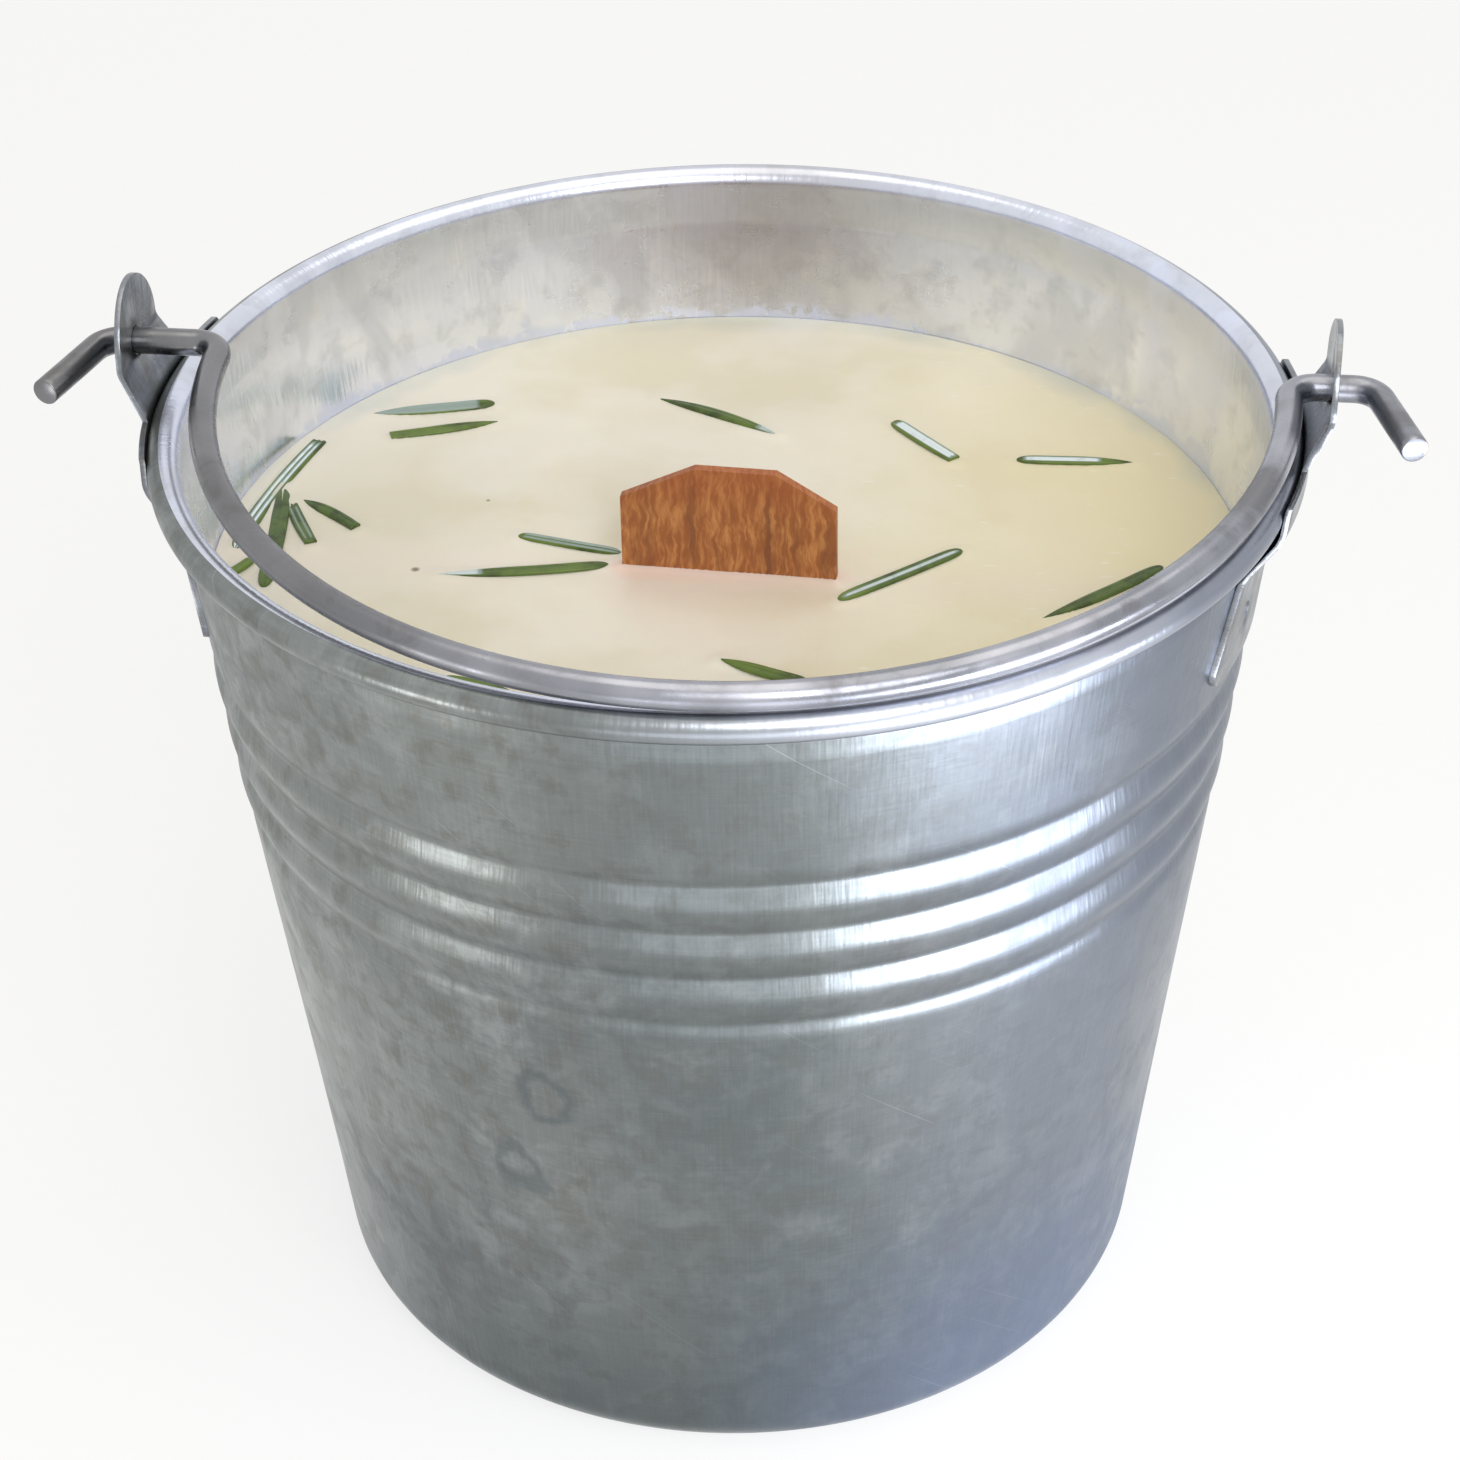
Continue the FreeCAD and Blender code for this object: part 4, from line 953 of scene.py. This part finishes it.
class BUCKET_OT_ears(bpy.types.Operator):
    """Finish the two ears, their cut edges rounded."""

    bl_idname = "bucket_candle.ears"
    bl_label = "Ears"

    def execute(self, context):
        finishes = context.scene.bucket_finishes
        steel = zinc_material("Pressed ear steel", finishes.ear, linear("#62666c"),
                              linear("#b0b3b8"), 0.24)[0]
        same_place, rounding, sharpest = 0.002 * MM, 0.1 * MM, math.radians(50)
        for side in ("left_ear", "right_ear"):
            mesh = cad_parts[side].data.copy()
            work = bmesh.new()
            work.from_mesh(mesh)
            bmesh.ops.remove_doubles(work, verts=work.verts, dist=same_place)
            work.to_mesh(mesh)
            work.free()
            mesh.materials.clear()
            mesh.materials.append(steel)
            made = bpy.data.objects.new(side + "_plate", mesh)
            context.scene.collection.objects.link(made)
            mesh.shade_smooth()
            edges = made.modifiers.new("Sheared edges", "BEVEL")
            edges.width = rounding
            edges.segments = 2
            edges.limit_method = "ANGLE"
            edges.angle_limit = sharpest
            edges.harden_normals = True
            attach(made, "bucket")
            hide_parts(side)
        return {"FINISHED"}


def wire_path(bail):
    """The wire's middle line, flat, hinge line along X and bow towards -Y, left end to right.

    Straight runs and arcs one after another: hook, bend, cross piece, bend, half circle, and
    the same back on the other side.
    """
    turn = bail.hook_turn
    bend_out = bail.hook_bend * math.sin(turn)
    bend_on = bail.hook_bend * (1 - math.cos(turn))
    end_out = bail.cross_half + bend_out + bail.hook_length * math.cos(turn)
    end_on = bend_on + bail.hook_length * math.sin(turn)
    degrees = math.degrees(turn)
    hook_rows, bend_rows, cross_rows, inner_rows, bow_rows = 20, 14, 10, 16, 260
    hook = (np.linspace(end_out, bail.cross_half + bend_out, hook_rows)[:-1],
            np.linspace(-end_on, -bend_on, hook_rows)[:-1])
    bend = arc(bail.cross_half, -bail.hook_bend, bail.hook_bend, 90 - degrees, 90, bend_rows)
    runs = []
    for side in (-1, 1):
        arm = side * bail.shift + bail.bow
        cross = np.linspace(bail.cross_half, arm + bail.inner_bend, cross_rows)[1:-1]
        inner = arc(arm + bail.inner_bend, -bail.inner_bend, bail.inner_bend, 90, 180, inner_rows)
        out, on = joined(hook, bend, (cross, 0 * cross), inner)
        runs.append((side * out, on))
    bow = arc(bail.shift, -bail.inner_bend, bail.bow, 180, 360, bow_rows)
    right = (runs[1][0][::-1], runs[1][1][::-1])
    return joined(runs[0], (bow[0][1:-1], bow[1][1:-1]), right)


class BUCKET_OT_bail(bpy.types.Operator):
    """Bend the wire bail and lay it forward on the rim."""

    bl_idname = "bucket_candle.bail"
    bl_label = "Wire bail"

    def execute(self, context):
        bail = context.scene.bail_sizes
        sizes = context.scene.bucket_sizes
        out, on = wire_path(bail)
        line = np.stack([out, on, np.zeros(len(out))], axis=-1)
        ahead = np.gradient(line, axis=0)
        ahead /= np.linalg.norm(ahead, axis=1)[:, None]
        upright = np.array([0.0, 0.0, 1.0])
        sideways = np.cross(upright, ahead)
        faces_round = 28
        turns = np.linspace(0, 2 * np.pi, faces_round, endpoint=False)
        ring = np.cos(turns)[:, None] * sideways[:, None, :] + np.sin(turns)[:, None] * upright
        points = line[:, None, :] + bail.wire * ring
        # each sheared end goes on by two smaller rings: how far out, and their share of the radius
        rings = ((0.08 * MM, 0.97), (0.12 * MM, 0.9))
        start, end = ([line[row] + ahead[row] * way * step + bail.wire * share * ring[row]
                       for step, share in rings] for row, way in ((0, -1), (-1, 1)))
        points = np.concatenate([start[::-1], points, end])
        drop = bail.hinge_rise - sizes.bead - bail.wire - bail.rest_gap
        tip = math.asin(drop / (bail.inner_bend + bail.bow))
        back, up = turned_to(points[..., 1], points[..., 2], -tip)
        placed = np.stack([points[..., 0] + bail.slide, back,
                           up + sizes.rim_height + bail.hinge_rise], axis=-1)
        wire = piece_of("bent_wire", placed, "bail", "bail_handle")
        wire.data.materials.append(wire_material(context.scene.bucket_finishes, bail))
        return {"FINISHED"}


class BUCKET_OT_stage(bpy.types.Operator):
    """Set the floor, the lamps and the camera of the studio."""

    bl_idname = "bucket_candle.stage"
    bl_label = "Studio"

    def execute(self, context):
        scene = context.scene
        levels = scene.light_levels
        far = 20.0  # metres, past where the floor's edge could be seen
        mesh = bpy.data.meshes.new("studio_floor")
        corners = [(-far, -far, 0), (far, -far, 0), (far, far, 0), (-far, far, 0)]
        mesh.from_pydata(corners, [], [(0, 1, 2, 3)])
        floor = bpy.data.objects.new("studio_floor", mesh)
        scene.collection.objects.link(floor)
        floor.location.z = -FLUSH
        floor.data.materials.append(floor_material(scene.bucket_finishes))
        cool, warm, plain = (linear(tint)[:3] for tint in ("#eff4ff", "#fff8ea", "#ffffff"))
        aim_at = Vector((0, 0, 0.05))
        # name, power, width and height, place in metres and colour of each lamp
        lamps = (
            ("top_lamp", levels.top, (0.9, 0.9), (0.1, 0.1, 0.85), warm),
            ("key_lamp", levels.key, (0.5, 0.5), (0.24, -0.58, 0.5), plain),
            ("window_lamp", levels.window, (0.14, 0.07), (0.112, -0.092, 0.036), cool),
            ("glow_lamp", levels.glow, (0.2, 0.066), (0.045, -0.14, 0.034), cool),
            ("side_lamp", levels.side, (0.06, 0.066), (-0.15, -0.15, 0.036), plain),
        )
        for name, power, (wide, tall), spot, tint in lamps:
            data = bpy.data.lights.new(name, "AREA")
            data.shape = "ELLIPSE"
            data.energy = power
            data.size = wide
            data.size_y = tall
            data.color = tint
            lamp = bpy.data.objects.new(name, data)
            scene.collection.objects.link(lamp)
            lamp.location = spot
            lamp.rotation_euler = (aim_at - lamp.location).to_track_quat("-Z", "Y").to_euler()
        world = bpy.data.worlds.new("Room")
        world.use_nodes = True
        scene.world = world
        tree = world.node_tree
        tree.nodes.clear()
        strength = share_of(tree, (backdrop_rays(tree), 0.0, 1.0, levels.world, 1.0))
        sky = add(tree, "ShaderNodeBackground", {"Color": WHITE, "Strength": strength})
        add(tree, "ShaderNodeOutputWorld", {"Surface": sky.outputs[0]})
        set_camera(scene)
        scene.view_settings.view_transform = "Standard"
        return {"FINISHED"}


def floor_material(finishes):
    """Seamless studio paper: even pale matt, with a faint tooth, whiter where it is seen."""
    material, tree, shader, place = new_material("Studio paper")
    tooth = add(tree, "ShaderNodeTexNoise", {"Vector": place, "Scale": per_mm(2), "Detail": 2.0})
    shade = painted(tree, finishes.floor, ("#fbfbf9", (tooth.outputs["Fac"], 0.3, 0.7, 0.0, 1.0)))
    wired(tree, shader, {"Base Color": shade, "Roughness": 0.9})
    white = add(tree, "ShaderNodeEmission", {"Color": WHITE, "Strength": 1.0})
    whiter = share_of(tree, (backdrop_rays(tree), 0.0, 1.0, 0.0, 0.75))
    mixed = add(tree, "ShaderNodeMixShader", {
        0: whiter, 1: shader.outputs[0], 2: white.outputs[0]})
    tree.links.new(mixed.outputs[0], tree.nodes["Material Output"].inputs["Surface"])
    return material


def set_camera(scene):
    """The photograph's camera: 33.8 degrees up, 7.2 degrees to the right of the front."""
    turn, rise, roll = math.radians(7.2), 0.5890766, -0.0192008
    away = 0.34932
    aim_height, aim_right = 0.056369, -0.000039
    focal_pixels, frame_pixels, sensor = 3600, 1460, 36
    back = Vector((math.sin(turn) * math.cos(rise), -math.cos(turn) * math.cos(rise), math.sin(rise)))
    right = Vector((math.cos(turn), math.sin(turn), 0))
    up = back.cross(right)
    rolled_right = math.cos(roll) * right + math.sin(roll) * up
    rolled_up = math.cos(roll) * up - math.sin(roll) * right
    data = bpy.data.cameras.new("photo_camera")
    data.sensor_width = sensor
    data.lens = focal_pixels / frame_pixels * sensor
    camera = bpy.data.objects.new("photo_camera", data)
    scene.collection.objects.link(camera)
    axes = Matrix((rolled_right, rolled_up, back)).transposed()
    target = Vector((0, 0, aim_height)) + right * aim_right
    camera.matrix_world = Matrix.Translation(target + back * away) @ axes.to_4x4()
    data.clip_start = 0.01
    scene.camera = camera


class BUCKET_PT_panel(bpy.types.Panel):
    """Lists the bucket candle's pieces."""

    bl_idname = "BUCKET_PT_panel"
    bl_label = "Bucket candle"
    bl_space_type = "VIEW_3D"
    bl_region_type = "UI"
    bl_category = "Bucket candle"

    def draw(self, context):
        for operator in OPERATORS:
            self.layout.operator(operator.bl_idname)
        for name in ("bucket_sizes", "bail_sizes", "bucket_finishes", "light_levels"):
            group = getattr(context.scene, name)
            for field in group.bl_rna.properties.keys()[2:]:
                self.layout.prop(group, field)


OPERATORS = (
    BUCKET_OT_stage,
    BUCKET_OT_shell,
    BUCKET_OT_wax,
    BUCKET_OT_wick,
    BUCKET_OT_leaves,
    BUCKET_OT_ears,
    BUCKET_OT_bail,
)
GROUPS = {
    "bucket_sizes": BucketSizes,
    "bail_sizes": BailSizes,
    "bucket_finishes": Finishes,
    "light_levels": LightLevels,
}


def register():
    for name, group in GROUPS.items():
        bpy.utils.register_class(group)
        setattr(bpy.types.Scene, name, PointerProperty(type=group))
    for operator in OPERATORS:
        bpy.utils.register_class(operator)
    bpy.utils.register_class(BUCKET_PT_panel)


def unregister():
    bpy.utils.unregister_class(BUCKET_PT_panel)
    for operator in reversed(OPERATORS):
        bpy.utils.unregister_class(operator)
    for name, group in GROUPS.items():
        delattr(bpy.types.Scene, name)
        bpy.utils.unregister_class(group)


def main():
    register()
    bpy.ops.bucket_candle.stage()
    bpy.ops.bucket_candle.shell()
    bpy.ops.bucket_candle.wax()
    bpy.ops.bucket_candle.wick()
    bpy.ops.bucket_candle.leaves()
    bpy.ops.bucket_candle.ears()
    bpy.ops.bucket_candle.bail()
    bpy.context.view_layer.update()


if __name__ == "__main__":
    main()
